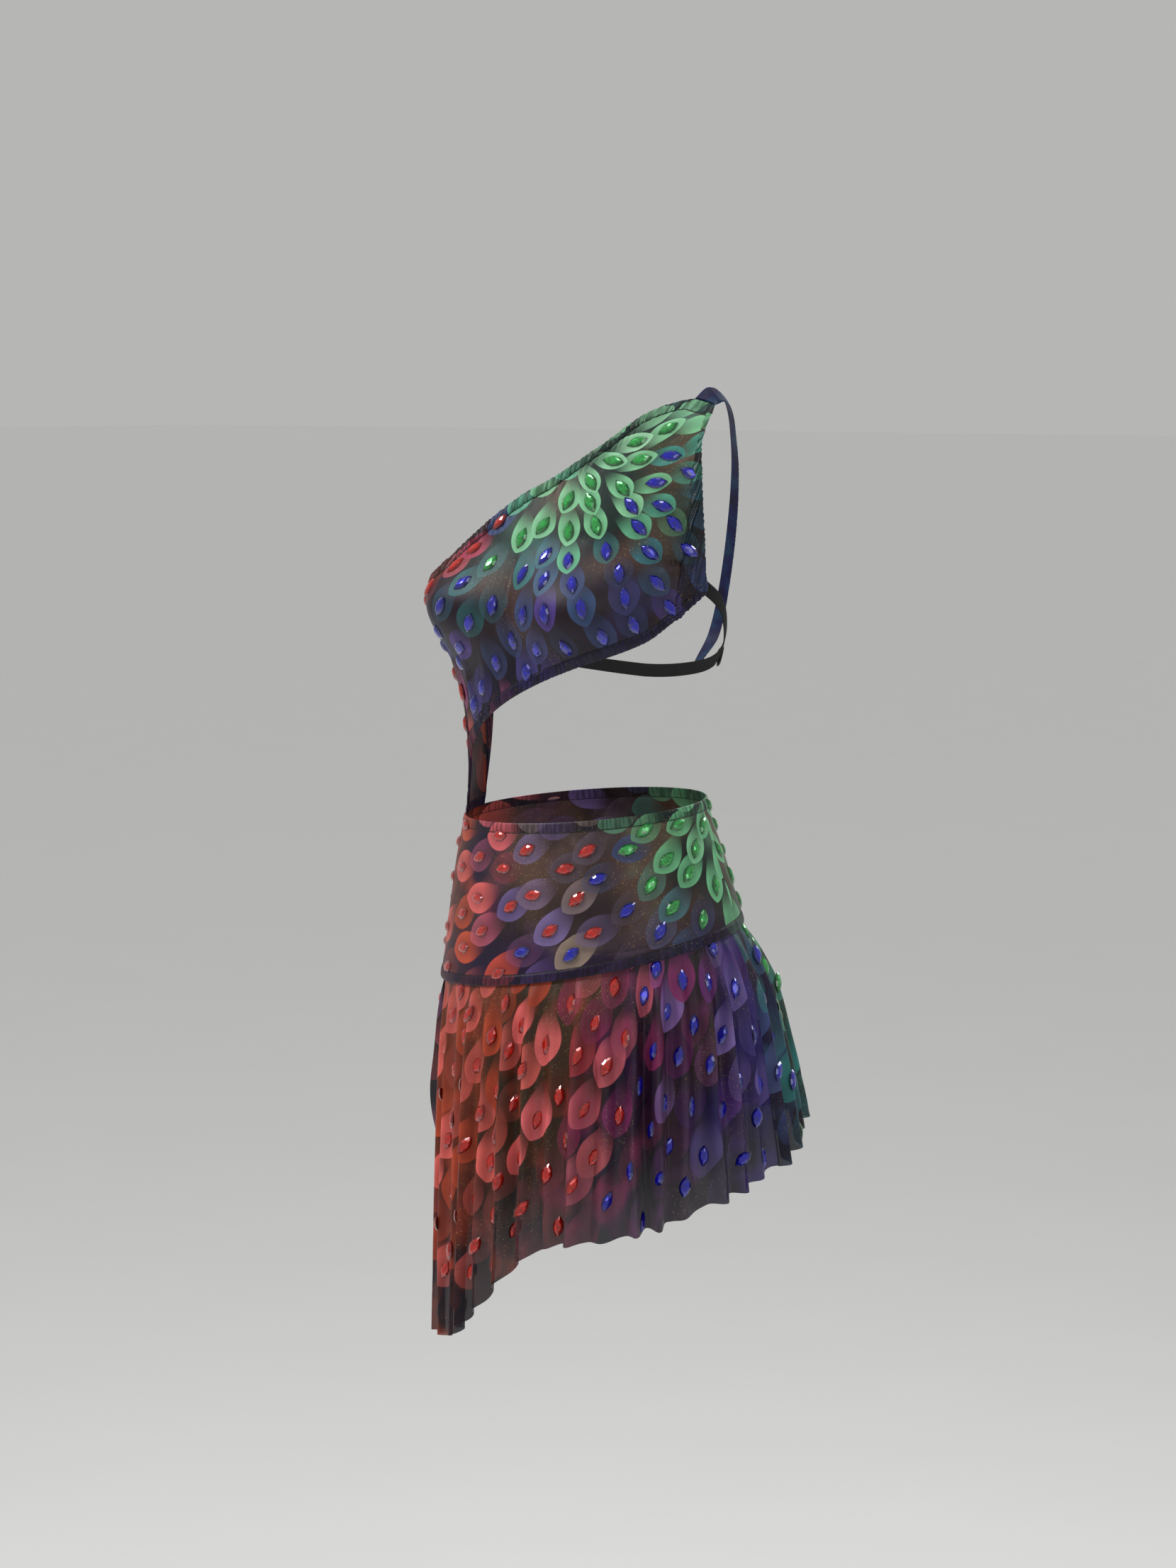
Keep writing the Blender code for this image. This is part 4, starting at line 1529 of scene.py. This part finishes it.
@dataclass
class Skirt:
    """The gathered skirt, in uneven folds that open towards the hem."""

    wave_depth: float = 0.0094
    gather: float = 0.045
    tuck: float = 0.006
    fold_start: float = 0.002
    slit_opening: float = 30
    per_wave: int = 18
    rows: int = 78
    edge_phase: float = 0.21
    side_seam: float = 96
    seam_width: float = 5.0
    seam_fold: float = 0.85
    lap: float = 0.0012
    hip: float = -0.20
    least: float = 0.0008

    def fold_size(self, angle: np.ndarray, wave: np.ndarray, free: np.ndarray) -> np.ndarray:
        """How deep each fold is beside the others, and how much less so near the slit.

        Args:
            angle: degrees from the front.
            wave: the place along the folds.
            free: 0 at the side seam, where both lengths have the same fold, and 1 away from it.

        Returns:
            The share of the full depth.
        """
        uneven = 0.80 + 0.34 * np.sin(2.4 * wave + 0.8) + 0.16 * np.sin(1.13 * wave + 2.0)
        uneven = uneven * (1 - 0.12 * bell(angle + 20, 42.0)) * (1 - 0.55 * bell(angle + 51, 13.0))
        return uneven * free + self.seam_fold * (1 - free)

    def folds(self, wave: np.ndarray, fall: np.ndarray, share: np.ndarray, free: np.ndarray) -> np.ndarray:
        """The folds' form, as a share of their depth.

        Args:
            wave: the place along the folds.
            fall: how far the cloth has fallen from the seam.
            share: the same as a share of the skirt's length.
            free: 0 at the side seam and 1 away from it.

        Returns:
            How far out each place lies.
        """
        drift = 0.16 * share * np.sin(1.7 * wave + 1.0) + 0.07 * np.sin(9 * share + 2.1 * wave) * share
        phase = 2 * np.pi * (wave + drift * free)
        fold = np.cos(phase) + 0.20 * np.cos(2 * phase + 0.6 * np.sin(wave) * free)
        wide = 0.24 * share * np.cos(phase / 2 + 1.3 * np.sin(0.7 * wave)) * free
        small = 0.09 * np.sin(3 * phase + 2 * wave) * np.exp(-fall / 0.05) * free
        return fold + wide + small

    def place(self, angle: np.ndarray, wave: np.ndarray, below: np.ndarray) -> np.ndarray:
        """Places of the skirt.

        Args:
            angle: degrees from the front.
            wave: the place along the folds, one unit a fold.
            below: how far under the yoke's hem.

        Returns:
            The points.
        """
        seam = yoke_hem(angle)
        fall = np.maximum(below - self.fold_start, 0.0)
        share = fall / (seam - HEM(angle))
        hip = FORM.point(angle, np.maximum(seam - below, self.hip))
        out = unit(FORM.facing(angle, np.full_like(angle, self.hip)) * np.array((1.0, 1.0, 0.0)))
        free = 1 - bell(angle - self.side_seam, self.seam_width)
        opened = 1 - np.exp(-fall / self.gather)
        depth = self.wave_depth * self.fold_size(angle, wave, free) * opened * (0.75 + 0.25 * share)
        flare = FLARE(angle) * share ** 0.8 + 0.7 * depth
        reach = EASE + flare + depth * self.folds(wave, fall, share, free)
        reach = np.maximum(reach, EASE + self.least * opened)
        point = hip + out * reach[..., None]
        point[..., 2] = seam - below
        return point

    def cloth(self, name: str, start: float, end: float, waves: int, slit_at_end: bool) -> Cloth:
        """Works one length of the skirt out.

        Args:
            name: the piece's name.
            start: its first angle.
            end: its last angle.
            waves: how many folds it has.
            slit_at_end: whether it ends at the slit, and so opens away from it.

        Returns:
            Its grid.
        """
        wave = np.linspace(-self.edge_phase, waves - self.edge_phase, waves * self.per_wave + 1)
        share = np.linspace(0, 1, len(wave))
        top_angle = start + (end - start) * share
        length = yoke_hem(top_angle) - HEM(top_angle)
        down = 1 - shares_with_edges(self.rows, 0.14, 1.6)
        below = -self.tuck + (length[:, None] + self.tuck) * down[None, :]
        opening = self.slit_opening * ease_in(share * 4 - 3)[:, None] * np.maximum(below, 0) / length[:, None]
        angle = np.broadcast_to(top_angle[:, None] - (opening if slit_at_end else 0.0), below.shape)
        points = self.place(angle, np.broadcast_to(wave[:, None], below.shape), below)
        up = length_up(points)
        flat = unrolled(length_along(points[:, self.rows // 2]), up - up[:, -1:])
        cloth = Cloth(name, points, turned_outwards(points), flat)
        cloth.thickness = np.full(below.shape, SKIRT_CLOTH)
        cloth.lower = np.broadcast_to(down[None, :], below.shape)
        if slit_at_end:
            under = -self.lap * bell(top_angle - start, 1.2)
            cloth.move(np.broadcast_to(under[:, None], below.shape))
        return cloth


@dataclass(frozen=True)
class Station:
    """One place that the strap passes, and its width there."""

    x: float
    y: float
    z: float
    width: float


@dataclass
class Strap:
    """The rolled strap over the left shoulder and down the back."""

    route: tuple = (
        Station(0.1295, 0.0125, 0.3322, 0.0195), Station(0.1310, 0.0180, 0.3338, 0.019),
        Station(0.1312, 0.0250, 0.3326, 0.018), Station(0.1300, 0.0350, 0.3270, 0.017),
        Station(0.1265, 0.0465, 0.3165, 0.015), Station(0.1200, 0.0600, 0.3005, 0.014),
        Station(0.1090, 0.0800, 0.2680, 0.012), Station(0.0960, 0.0955, 0.2200, 0.012),
        Station(0.0840, 0.1010, 0.1600, 0.012), Station(0.0750, 0.0975, 0.1150, 0.012),
    )
    thickness: float = 0.0012
    roll: float = 0.0012
    ripple: float = 0.0004
    ripple_pitch: float = 0.0050
    start_angles: tuple[float, float] = (53, 43)
    start_height: float = 0.3583
    end_angles: tuple[float, float] = (144.5, 150.5)
    above_band: float = 0.0063
    across: int = 15
    along: int = 190

    def cloth(self) -> Cloth:
        """Works the strap out.

        Returns:
            Its grid.
        """
        share = np.linspace(-1, 1, self.across)
        first = self.start_angles[0] + (self.start_angles[1] - self.start_angles[0]) * (share + 1) / 2
        height = np.full_like(first, self.start_height)
        rows = [FORM.point(first, height) + FORM.facing(first, height) * EASE]
        facings = [FORM.facing(first, height)]
        centres = np.array([(station.x, station.y, station.z) for station in self.route])
        for k, station in enumerate(self.route):
            ahead = unit(centres[min(k + 1, len(centres) - 1)] - centres[max(k - 1, 0)])
            out = centres[k] - np.array((0.06, 0.018, min(station.z - 0.05, 0.25)))
            out = unit(out - ahead * out.dot(ahead))
            half = np.cross(out, ahead) * station.width / 2
            rows.append(centres[k] + half * share[:, None])
            facings.append(np.broadcast_to(out, rows[-1].shape))
        last = self.end_angles[0] + (self.end_angles[1] - self.end_angles[0]) * (share + 1) / 2
        middle = BAND(last)
        rows.append(FORM.point(last, middle + self.above_band) + FORM.facing(last, middle) * EASE)
        facings.append(FORM.facing(last, middle))
        points, facing = self.smooth(np.array(rows)), unit(self.smooth(np.array(facings)))
        run = length_along(points[:, self.across // 2])
        widths = np.linalg.norm(points[:, -1] - points[:, 0], axis=-1)
        cloth = Cloth("strap", points, facing, unrolled(run, widths[:, None] * share[None, :] / 2))
        round_off = np.sqrt(np.clip(1 - share ** 2, 0.0, 1))[None, :]
        wave = ripples(run, self.ripple_pitch, 0.9)[:, None] * round_off
        rolled = self.thickness * (0.55 + 0.45 * round_off) + self.roll * round_off
        cloth.thickness = rolled + self.ripple * wave
        return cloth

    def smooth(self, rows: np.ndarray) -> np.ndarray:
        """A smooth grid through a few rows.

        Args:
            rows: the rows across the strap, in order along it.

        Returns:
            Closely spaced rows.
        """
        run = np.linalg.norm(np.diff(rows.mean(axis=1), axis=0), axis=-1)
        total = np.concatenate(([0.0], np.cumsum(np.maximum(run, 1e-4))))
        at = np.linspace(0, total[-1], self.along)
        right = np.clip(np.searchsorted(total, at), 1, len(total) - 1)
        left = right - 1
        before, after = np.maximum(left - 1, 0), np.minimum(right + 1, len(total) - 1)
        span = (total[right] - total[left])[:, None, None]
        share = (at - total[left])[:, None, None] / span
        start = (rows[right] - rows[before]) / (total[right] - total[before])[:, None, None] * span
        end = (rows[after] - rows[left]) / (total[after] - total[left])[:, None, None] * span
        rise = rows[right] - rows[left]
        return (
            rows[left] + share * start
            + share ** 2 * (3 * rise - 2 * start - end)
            + share ** 3 * (start + end - 2 * rise)
        )


@dataclass
class Band:
    """The black elastic band round the back, and its slider."""

    start: float = 79
    end: float = 257
    girth: float = 0.14
    width: float = 0.012
    thickness: float = 0.0010
    selvedge: float = 0.0054
    selvedge_thickness: float = 0.0007
    columns: int = 300
    rows: int = 9
    dip: float = 0.0006
    slider_angle: float = 126
    slider_half_width: float = 0.0085
    slider_half_length: float = 0.0055
    slider_corner: float = 0.6
    slider_points: int = 28
    bar_radius: float = 0.0009
    bar_sides: int = 10

    def place(self, angle: np.ndarray, across: np.ndarray, offset: np.ndarray) -> np.ndarray:
        """Places on the band: an angle, a distance above its middle and one out of the figure."""
        middle = BAND(angle)
        return FORM.point(angle, middle + across) + FORM.facing(angle, middle) * np.asarray(offset)[..., None]

    def cloth(self) -> Cloth:
        """Works the band out.

        Returns:
            Its grid.
        """
        gap = math.degrees(SEAM / self.girth)
        angle = np.linspace(self.start + gap, self.end - gap, self.columns)
        across = np.linspace(-0.5, 0.5, self.rows) * self.width
        wide, over = np.meshgrid(angle, across, indexing="ij")
        points = self.place(wide, over, EASE - self.dip * bell(wide - self.slider_angle, 2.0))
        flat = unrolled(length_along(points[:, self.rows // 2]), over)
        cloth = Cloth("elastic_band", points, FORM.facing(wide, BAND(wide)), flat)
        cloth.thickness = np.where(np.abs(over) > self.selvedge, self.selvedge_thickness, self.thickness)
        return cloth

    def slider(self) -> bpy.types.Object:
        """Makes the slider's frame and middle bar, bent to the band.

        Returns:
            The slider.
        """
        reach = math.degrees(self.slider_half_length / 0.125) - 0.4
        lift = EASE + 0.0012 + SEAM + self.bar_radius
        outline = []
        for k in range(self.slider_points):
            turn = 2 * math.pi * k / self.slider_points
            x, y = (math.copysign(abs(c) ** self.slider_corner, c) for c in (math.cos(turn), math.sin(turn)))
            outline.append((x * reach, y * (self.slider_half_width - self.bar_radius)))
        half = self.slider_half_width - 1.2 * self.bar_radius
        bar = [(0.0, share * half) for share in np.linspace(-1, 1, 7)]
        points, faces = [], []
        for path, closed in ((outline, True), (bar, False)):
            turns, across = np.array(path).T
            angle = self.slider_angle + turns
            centres = self.place(angle, across, np.full_like(angle, lift))
            self.tube(points, faces, centres, FORM.facing(angle, BAND(angle)), closed)
        return make_piece("slider", np.array(points) - STRAP_REST, np.array(faces))

    def tube(self, points: list, faces: list, centres: np.ndarray, outs: np.ndarray, closed: bool) -> None:
        """Adds a round bar along a path.

        Args:
            points: the points so far, which it adds to.
            faces: the faces so far, which it adds to.
            centres: the path.
            outs: the outward directions along it.
            closed: whether the path closes on itself.
        """
        sides, count, base = self.bar_sides, len(centres), len(points)
        ahead = np.roll(centres, -1, 0) - np.roll(centres, 1, 0) if closed else np.gradient(centres, axis=0)
        side = unit(np.cross(outs, unit(ahead)))
        for k in range(count):
            for s in range(sides):
                turn = 2 * math.pi * s / sides
                step = outs[k] * math.cos(turn) + side[k] * math.sin(turn)
                points.append(centres[k] + step * self.bar_radius)
        for k in range(count if closed else count - 1):
            after = (k + 1) % count
            for s in range(sides):
                beside = (s + 1) % sides
                faces.append([base + k * sides + s, base + k * sides + beside,
                              base + after * sides + beside, base + after * sides + s])
        if not closed:
            for ring in (0, count - 1):
                hub = len(points)
                points.append(centres[ring])
                for s in range(sides):
                    a, b = base + ring * sides + s, base + ring * sides + (s + 1) % sides
                    faces.append([hub, b, a, a] if ring == 0 else [hub, a, b, b])


# The bodice's print fans from the neckline, the yoke's from the hips, and the skirt's from far above it
BODICE_FAN = Fan(centre=(math.radians(17) * GIRTH, 0.294), first_step=0.0200, growth=0.0008, breadth=0.97)
YOKE_FAN = Fan(centre=(0.232, 0.018), first_step=0.024, growth=0.0006)
YOKE_BACK_FAN = Fan(centre=(-0.02, 0.020), first_step=0.024, growth=0.0006)
SKIRT_FAN = Fan(
    centre=(1.45, 2.60), first_step=0.036, growth=0.0000001, crowding=1.22, tilt=0.26, breadth=1.22,
)

MINT = rgb(128, 202, 152)
PALE_MINT = rgb(165, 215, 175)
TEAL = rgb(60, 145, 140)
SLATE = rgb(70, 88, 132)
DUSK = rgb(92, 78, 152)
LILAC = rgb(136, 116, 178)
VIOLET = rgb(96, 66, 150)
INDIGO = rgb(52, 34, 130)
PLUM = rgb(112, 50, 112)
MAGENTA = rgb(160, 52, 106)
SALMON = rgb(232, 114, 106)
PINK = rgb(214, 110, 126)
RUST = rgb(168, 68, 38)
ORANGE = rgb(208, 90, 50)
BROWN_PURPLE = rgb(48, 34, 44)
DEEP_GREEN = rgb(30, 52, 46)
DEEP_INDIGO = rgb(26, 16, 66)
DEEP_VIOLET = rgb(40, 20, 60)
DEEP_RUST = rgb(92, 34, 22)
BURNT = rgb(122, 52, 28)
OLIVE = rgb(66, 46, 28)
RICH_INDIGO = rgb(36, 22, 104)
SMOKE = rgb(58, 46, 50)
NAVY = rgb(20, 20, 46)
DARK_PLUM = rgb(46, 16, 44)
ASH = rgb(138, 124, 148)
BEIGE = rgb(168, 150, 128)


def bodice_zone(u: Wire, v: Wire, reach: Wire) -> Wire:
    """How far a place of the bodice is from green, through blue, to red at the wearer's right."""
    rightward = (BODICE_FAN.centre[0] - u) / reach
    red = (0 - u).soft(0.085, 0.125) * 0.30
    rim = rightward.soft(0.655, 0.70) * reach.soft(0.075, 0.10) * 0.62
    low = (0.13 - v).soft(0.0, 0.10) * 0.10
    green = rightward.soft(0.10, 0.45) * -0.9 + rightward.soft(-0.80, -0.40) * 0.8 - 0.8
    return reach * (green + 2.75) + red + rim + low


def yoke_zone(u: Wire, v: Wire, reach: Wire) -> Wire:
    """How far a place of the yoke is from green at the hip to red at the wearer's right."""
    return reach * 2.35 + v * 0.35


def yoke_back_zone(u: Wire, v: Wire, reach: Wire) -> Wire:
    """The same on the yoke's back, which runs from the green hip round to the red side."""
    return reach * 1.9 + v * 0.3


def skirt_zone(u: Wire, v: Wire, reach: Wire) -> Wire:
    """How far a place of the skirt's front is from the red side to the blue one."""
    return u * 1.22 - v * 0.30 - 0.02


def skirt_back_zone(u: Wire, v: Wire, reach: Wire) -> Wire:
    """The same on the skirt's back, from blue through green to the slit."""
    return u * 0.86 + v * 0.10 + 0.12


BODICE_PRINT = PetalPrint(
    name="bodice_mesh", fan=BODICE_FAN, zone=bodice_zone, opacity=0.97, casing=DEEP_INDIGO,
    lower_ground=(0.165, 0.085, 0.9, rgb(22, 8, 38)),
    petals=((0.0, PALE_MINT), (0.20, MINT), (0.27, TEAL), (0.34, SLATE), (0.52, SLATE), (0.64, DUSK),
            (0.80, PINK), (0.90, SALMON), (1.0, RUST)),
    others=((0.0, MINT), (0.22, TEAL), (0.32, SLATE), (0.50, VIOLET), (0.66, INDIGO), (0.84, MAGENTA),
            (1.0, ORANGE)),
    grounds=((0.0, DEEP_GREEN), (0.18, DEEP_GREEN), (0.28, BROWN_PURPLE), (0.50, BROWN_PURPLE),
             (0.62, DEEP_VIOLET), (0.78, DARK_PLUM), (0.90, DEEP_RUST), (1.0, DEEP_RUST)),
)
YOKE_PRINT = PetalPrint(
    name="yoke_mesh", fan=YOKE_FAN, zone=yoke_zone, opacity=0.97, other_share=0.4, casing=DEEP_VIOLET,
    lower_ground=(-0.085, -0.135, 0.75, DEEP_VIOLET),
    petals=((0.0, MINT), (0.28, MINT), (0.34, SLATE), (0.42, ASH), (0.55, LILAC), (0.64, PINK),
            (0.72, SALMON), (0.88, SALMON), (1.0, ORANGE)),
    others=((0.0, PALE_MINT), (0.25, MINT), (0.36, SLATE), (0.45, BEIGE), (0.55, VIOLET), (0.63, MAGENTA),
            (0.70, ORANGE), (1.0, RUST)),
    grounds=((0.0, DEEP_GREEN), (0.20, DEEP_GREEN), (0.32, SMOKE), (0.56, SMOKE), (0.68, DEEP_VIOLET),
             (0.78, DEEP_RUST), (1.0, DEEP_RUST)),
)
YOKE_BACK_PRINT = PetalPrint(
    name="yoke_back_mesh", fan=YOKE_BACK_FAN, zone=yoke_back_zone, opacity=0.97, other_share=0.4,
    casing=DEEP_VIOLET, lower_ground=YOKE_PRINT.lower_ground,
    petals=YOKE_PRINT.petals, others=YOKE_PRINT.others, grounds=YOKE_PRINT.grounds,
)
SKIRT_PRINT = PetalPrint(
    name="skirt_front_mesh", fan=SKIRT_FAN, zone=skirt_zone, opacity=0.96, sheer_hem=0.20, other_share=0.42,
    strength=0.95, casing=DEEP_INDIGO, hem_shade=0.9, blush=0.6, painted_bronze_highlight=0.1,
    lower_ground=(-0.13, -0.32, 0.7, NAVY),
    petals=((0.0, SALMON), (0.26, SALMON), (0.40, PINK), (0.50, MAGENTA), (0.60, LILAC), (0.74, DUSK),
            (1.0, INDIGO)),
    others=((0.0, ORANGE), (0.30, RUST), (0.42, MAGENTA), (0.55, PLUM), (0.68, VIOLET), (0.84, INDIGO),
            (1.0, INDIGO)),
    grounds=((0.0, BURNT), (0.14, BURNT), (0.24, OLIVE), (0.36, OLIVE), (0.46, DEEP_VIOLET), (0.56, SMOKE),
             (0.68, RICH_INDIGO), (1.0, RICH_INDIGO)),
)
SKIRT_BACK_PRINT = PetalPrint(
    name="skirt_back_mesh", fan=SKIRT_FAN, zone=skirt_back_zone, opacity=0.96, sheer_hem=0.20,
    other_share=0.35, strength=0.95, casing=DEEP_INDIGO, hem_shade=0.8, blush=0.6, painted_bronze_highlight=0.1,
    lower_ground=(-0.12, -0.30, 0.85, NAVY),
    petals=((0.0, INDIGO), (0.12, SLATE), (0.20, TEAL), (0.28, MINT), (0.42, MINT), (0.54, TEAL),
            (0.66, LILAC), (0.80, PINK), (1.0, SALMON)),
    others=((0.0, VIOLET), (0.20, TEAL), (0.45, TEAL), (0.60, VIOLET), (0.78, MAGENTA), (1.0, ORANGE)),
    grounds=((0.0, DEEP_INDIGO), (0.14, DEEP_INDIGO), (0.20, DEEP_GREEN), (0.50, DEEP_GREEN),
             (0.62, DEEP_INDIGO), (0.80, OLIVE), (1.0, DEEP_RUST)),
)


def bodice_gem(u: float, v: float, reach: float) -> Gem:
    """The colour of a stone on the bodice."""
    rightward = (BODICE_FAN.centre[0] - u) / reach
    if u < -0.108 or rightward > 0.68 and reach > 0.09:
        return Gem.RED
    green_reach = 0.122 if rightward > 0.3 else 0.084 if rightward > -0.6 or v > 0.318 else 0.058
    return Gem.GREEN if reach < green_reach else Gem.BLUE


def yoke_gem(u: float, v: float, reach: float) -> Gem:
    """The colour of a stone on the yoke."""
    if reach < (0.142 if v < -0.025 else 0.118):
        return Gem.GREEN
    return Gem.BLUE if v < -0.03 and reach < 0.178 or v < -0.10 and reach < 0.27 else Gem.RED


def skirt_gem(u: float, v: float, reach: float) -> Gem:
    """The colour of a stone on the skirt's front."""
    return Gem.RED if u - 0.30 * v < 0.39 else Gem.BLUE


def skirt_back_gem(u: float, v: float, reach: float) -> Gem:
    """The colour of a stone on the skirt's back."""
    if u < 0.05:
        return Gem.BLUE
    if u < 0.46:
        return Gem.GREEN
    return Gem.BLUE if u < 0.66 else Gem.RED


class Dress:
    """The whole dress, built piece by piece."""

    def __init__(self) -> None:
        """Makes the shared finishes."""
        self.stones = Stones()
        self.stitches = Stitching()
        self.log = logging.getLogger("dress")

    def finish_sheet(
        self, cloth: Cloth, node: str, material: bpy.types.Material,
        stretch: float = 1.0,
    ) -> None:
        """Builds one panel and says what it is.

        Args:
            cloth: the panel's grid.
            node: the CAD node that it stands for.
            material: its finish.
            stretch: how much larger the worn cloth is than its flat cut.
        """
        piece = cloth.build()
        piece.data.materials.append(material)
        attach(piece, BODY)
        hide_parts(node)
        width, length = (float(x) / math.sqrt(stretch) for x in np.ptp(cloth.flat.reshape(-1, 2), axis=0))
        area = min(cloth.area() / stretch, width * length)
        self.log.info("%s: flat %.3f x %.3f m, area %.4f m2", piece.name, width, length, area)

    def build(self) -> None:
        """Makes every piece in order."""
        self.bodice()
        self.yoke()
        self.skirt()
        cloth = Strap().cloth()
        self.finish_sheet(cloth, "shoulder_strap", RolledCasing().material())
        self.band()
        finishes = {
            Gem.RED: StoneFinish(Gem.RED, rgb(92, 5, 2), rgb(212, 28, 8)).material(),
            Gem.BLUE: StoneFinish(Gem.BLUE, rgb(3, 3, 66), rgb(7, 12, 186)).material(),
            Gem.GREEN: StoneFinish(Gem.GREEN, rgb(5, 54, 22), rgb(50, 180, 80)).material(),
        }
        for piece in self.stones.build(finishes):
            self.log.info("%s: %d triangles", piece.name, len(piece.data.polygons))
        self.stitches.build(Thread("dark_thread", rgb(16, 12, 20)).material())

    def bodice(self) -> None:
        """Makes the sash, with its stones and stitches."""
        bodice = Bodice()
        cloth = bodice.cloth()
        self.finish_sheet(cloth, "bodice_front", BODICE_PRINT.material(),
                          STRETCH)
        self.stones.add(cloth, BODICE_FAN, bodice_gem, 0.0088)
        for line in bodice.seams:
            self.stitches.add(*line)

    def yoke(self) -> None:
        """Makes the yoke's two panels, with their stones and stitches."""
        yoke = Yoke()
        gap = math.degrees(SEAM / 2 / 0.14)
        front, back = yoke.seams
        for name, node, start, end, look in (
            ("yoke_front_panel", "yoke_front", front + gap, back - gap, YOKE_PRINT),
            ("yoke_back_panel", "yoke_back", back + gap, front + 360 - gap, YOKE_BACK_PRINT),
        ):
            cloth = yoke.cloth(name, start, end)
            self.finish_sheet(cloth, node, look.material(), STRETCH)
            self.stones.add(cloth, look.fan, yoke_gem, 0.0072)
            for line in yoke.lines:
                self.stitches.add(*line)

    def skirt(self) -> None:
        """Makes the skirt's two lengths, with their stones."""
        skirt = Skirt()
        for name, node, start, end, waves, slit, look, gem in (
            ("skirt_front", "flounce_front", -51, 95.93, 16, False, SKIRT_PRINT, skirt_gem),
            ("skirt_back", "flounce_back", 95.2, 296, 19, True, SKIRT_BACK_PRINT, skirt_back_gem),
        ):
            cloth = skirt.cloth(name, start, end, waves, slit)
            self.finish_sheet(cloth, node, look.material())
            self.stones.add(cloth, SKIRT_FAN, gem, 0.0095)

    def band(self) -> None:
        """Makes the elastic band and its slider."""
        band = Band()
        self.finish_sheet(band.cloth(), "back_band", WovenElastic().material())
        slider = band.slider()
        slider.data.materials.append(MouldedPlastic().material())
        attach(slider, BODY)
        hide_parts("strap_slider")


@dataclass(frozen=True)
class Lamp:
    """One soft square light."""

    name: str
    place: tuple[float, float, float]
    size: float
    watts: float


@dataclass
class Studio:
    """The floor, the soft lights and the camera at the photograph's viewing angle."""

    floor_height: float = -2.3
    distance: float = 2.6
    azimuth: float = 37.0
    pitch: float = 8.0
    lens: float = 65.1
    shift: float = 0.002
    aim: tuple[float, float, float] = (0.0, 0.0, -0.02)
    lit_place: tuple[float, float, float] = (-0.13, 0.0, -0.35)
    floor_size: float = 240
    floor_tones: tuple = (rgb(249, 249, 248), rgb(252, 252, 251))
    wall: tuple = rgb(196, 196, 195)
    wall_strength: float = 0.85
    lamps: tuple = (
        Lamp("key", (-1.7, -1.9, 1.7), 0.6, 58), Lamp("fill", (2.4, -1.6, 0.6), 1.6, 16),
        Lamp("rim", (0.9, 2.2, 1.5), 1.2, 34), Lamp("top", (-0.2, -0.4, 2.4), 1.0, 26),
    )

    def floor(self) -> None:
        """Makes the pale floor."""
        bpy.ops.mesh.primitive_plane_add(size=self.floor_size, location=(0, 0, self.floor_height))
        floor = bpy.context.object
        floor.name = "floor"
        dye = Dye("floor")
        tone = dye.noise(dye.place(), 3.0)
        floor.data.materials.append(dye.finish(Base_Color=dye.mix(tone, *self.floor_tones), Roughness=0.7))

    def lights(self) -> None:
        """Makes the world and the lights."""
        world = bpy.data.worlds.new("studio")
        world.use_nodes = True
        wall = world.node_tree.nodes["Background"].inputs
        wall["Color"].default_value = (*self.wall, 1.0)
        wall["Strength"].default_value = self.wall_strength
        bpy.context.scene.world = world
        bpy.context.scene.view_settings.view_transform = "Standard"
        for row in self.lamps:
            light = bpy.data.lights.new(row.name, "AREA")
            light.size = row.size
            light.energy = row.watts
            lamp = link(row.name, light)
            lamp.location = row.place
            aim = Vector(self.lit_place) - Vector(row.place)
            lamp.rotation_euler = aim.to_track_quat("-Z", "Y").to_euler()

    def camera(self) -> None:
        """Makes the camera."""
        turn, dip = math.radians(self.azimuth), math.radians(self.pitch)
        ahead = Vector((-math.sin(turn) * math.cos(dip), math.cos(turn) * math.cos(dip), -math.sin(dip)))
        aim = Vector(self.aim) - Vector(STRAP_REST.tolist())
        camera = bpy.data.cameras.new("camera")
        camera.lens = self.lens
        camera.sensor_width = 36.0
        camera.shift_x = self.shift
        eye = link("camera", camera)
        eye.location = aim - ahead * self.distance
        eye.rotation_euler = ahead.to_track_quat("-Z", "Y").to_euler()
        bpy.context.scene.camera = eye

    def build(self) -> None:
        """Makes the studio."""
        self.floor()
        self.lights()
        self.camera()


def main() -> None:
    """Builds the dress and the studio."""
    logging.basicConfig(level=logging.INFO, format="%(message)s")
    Studio().build()
    Dress().build()


if __name__ == "__main__":
    main()
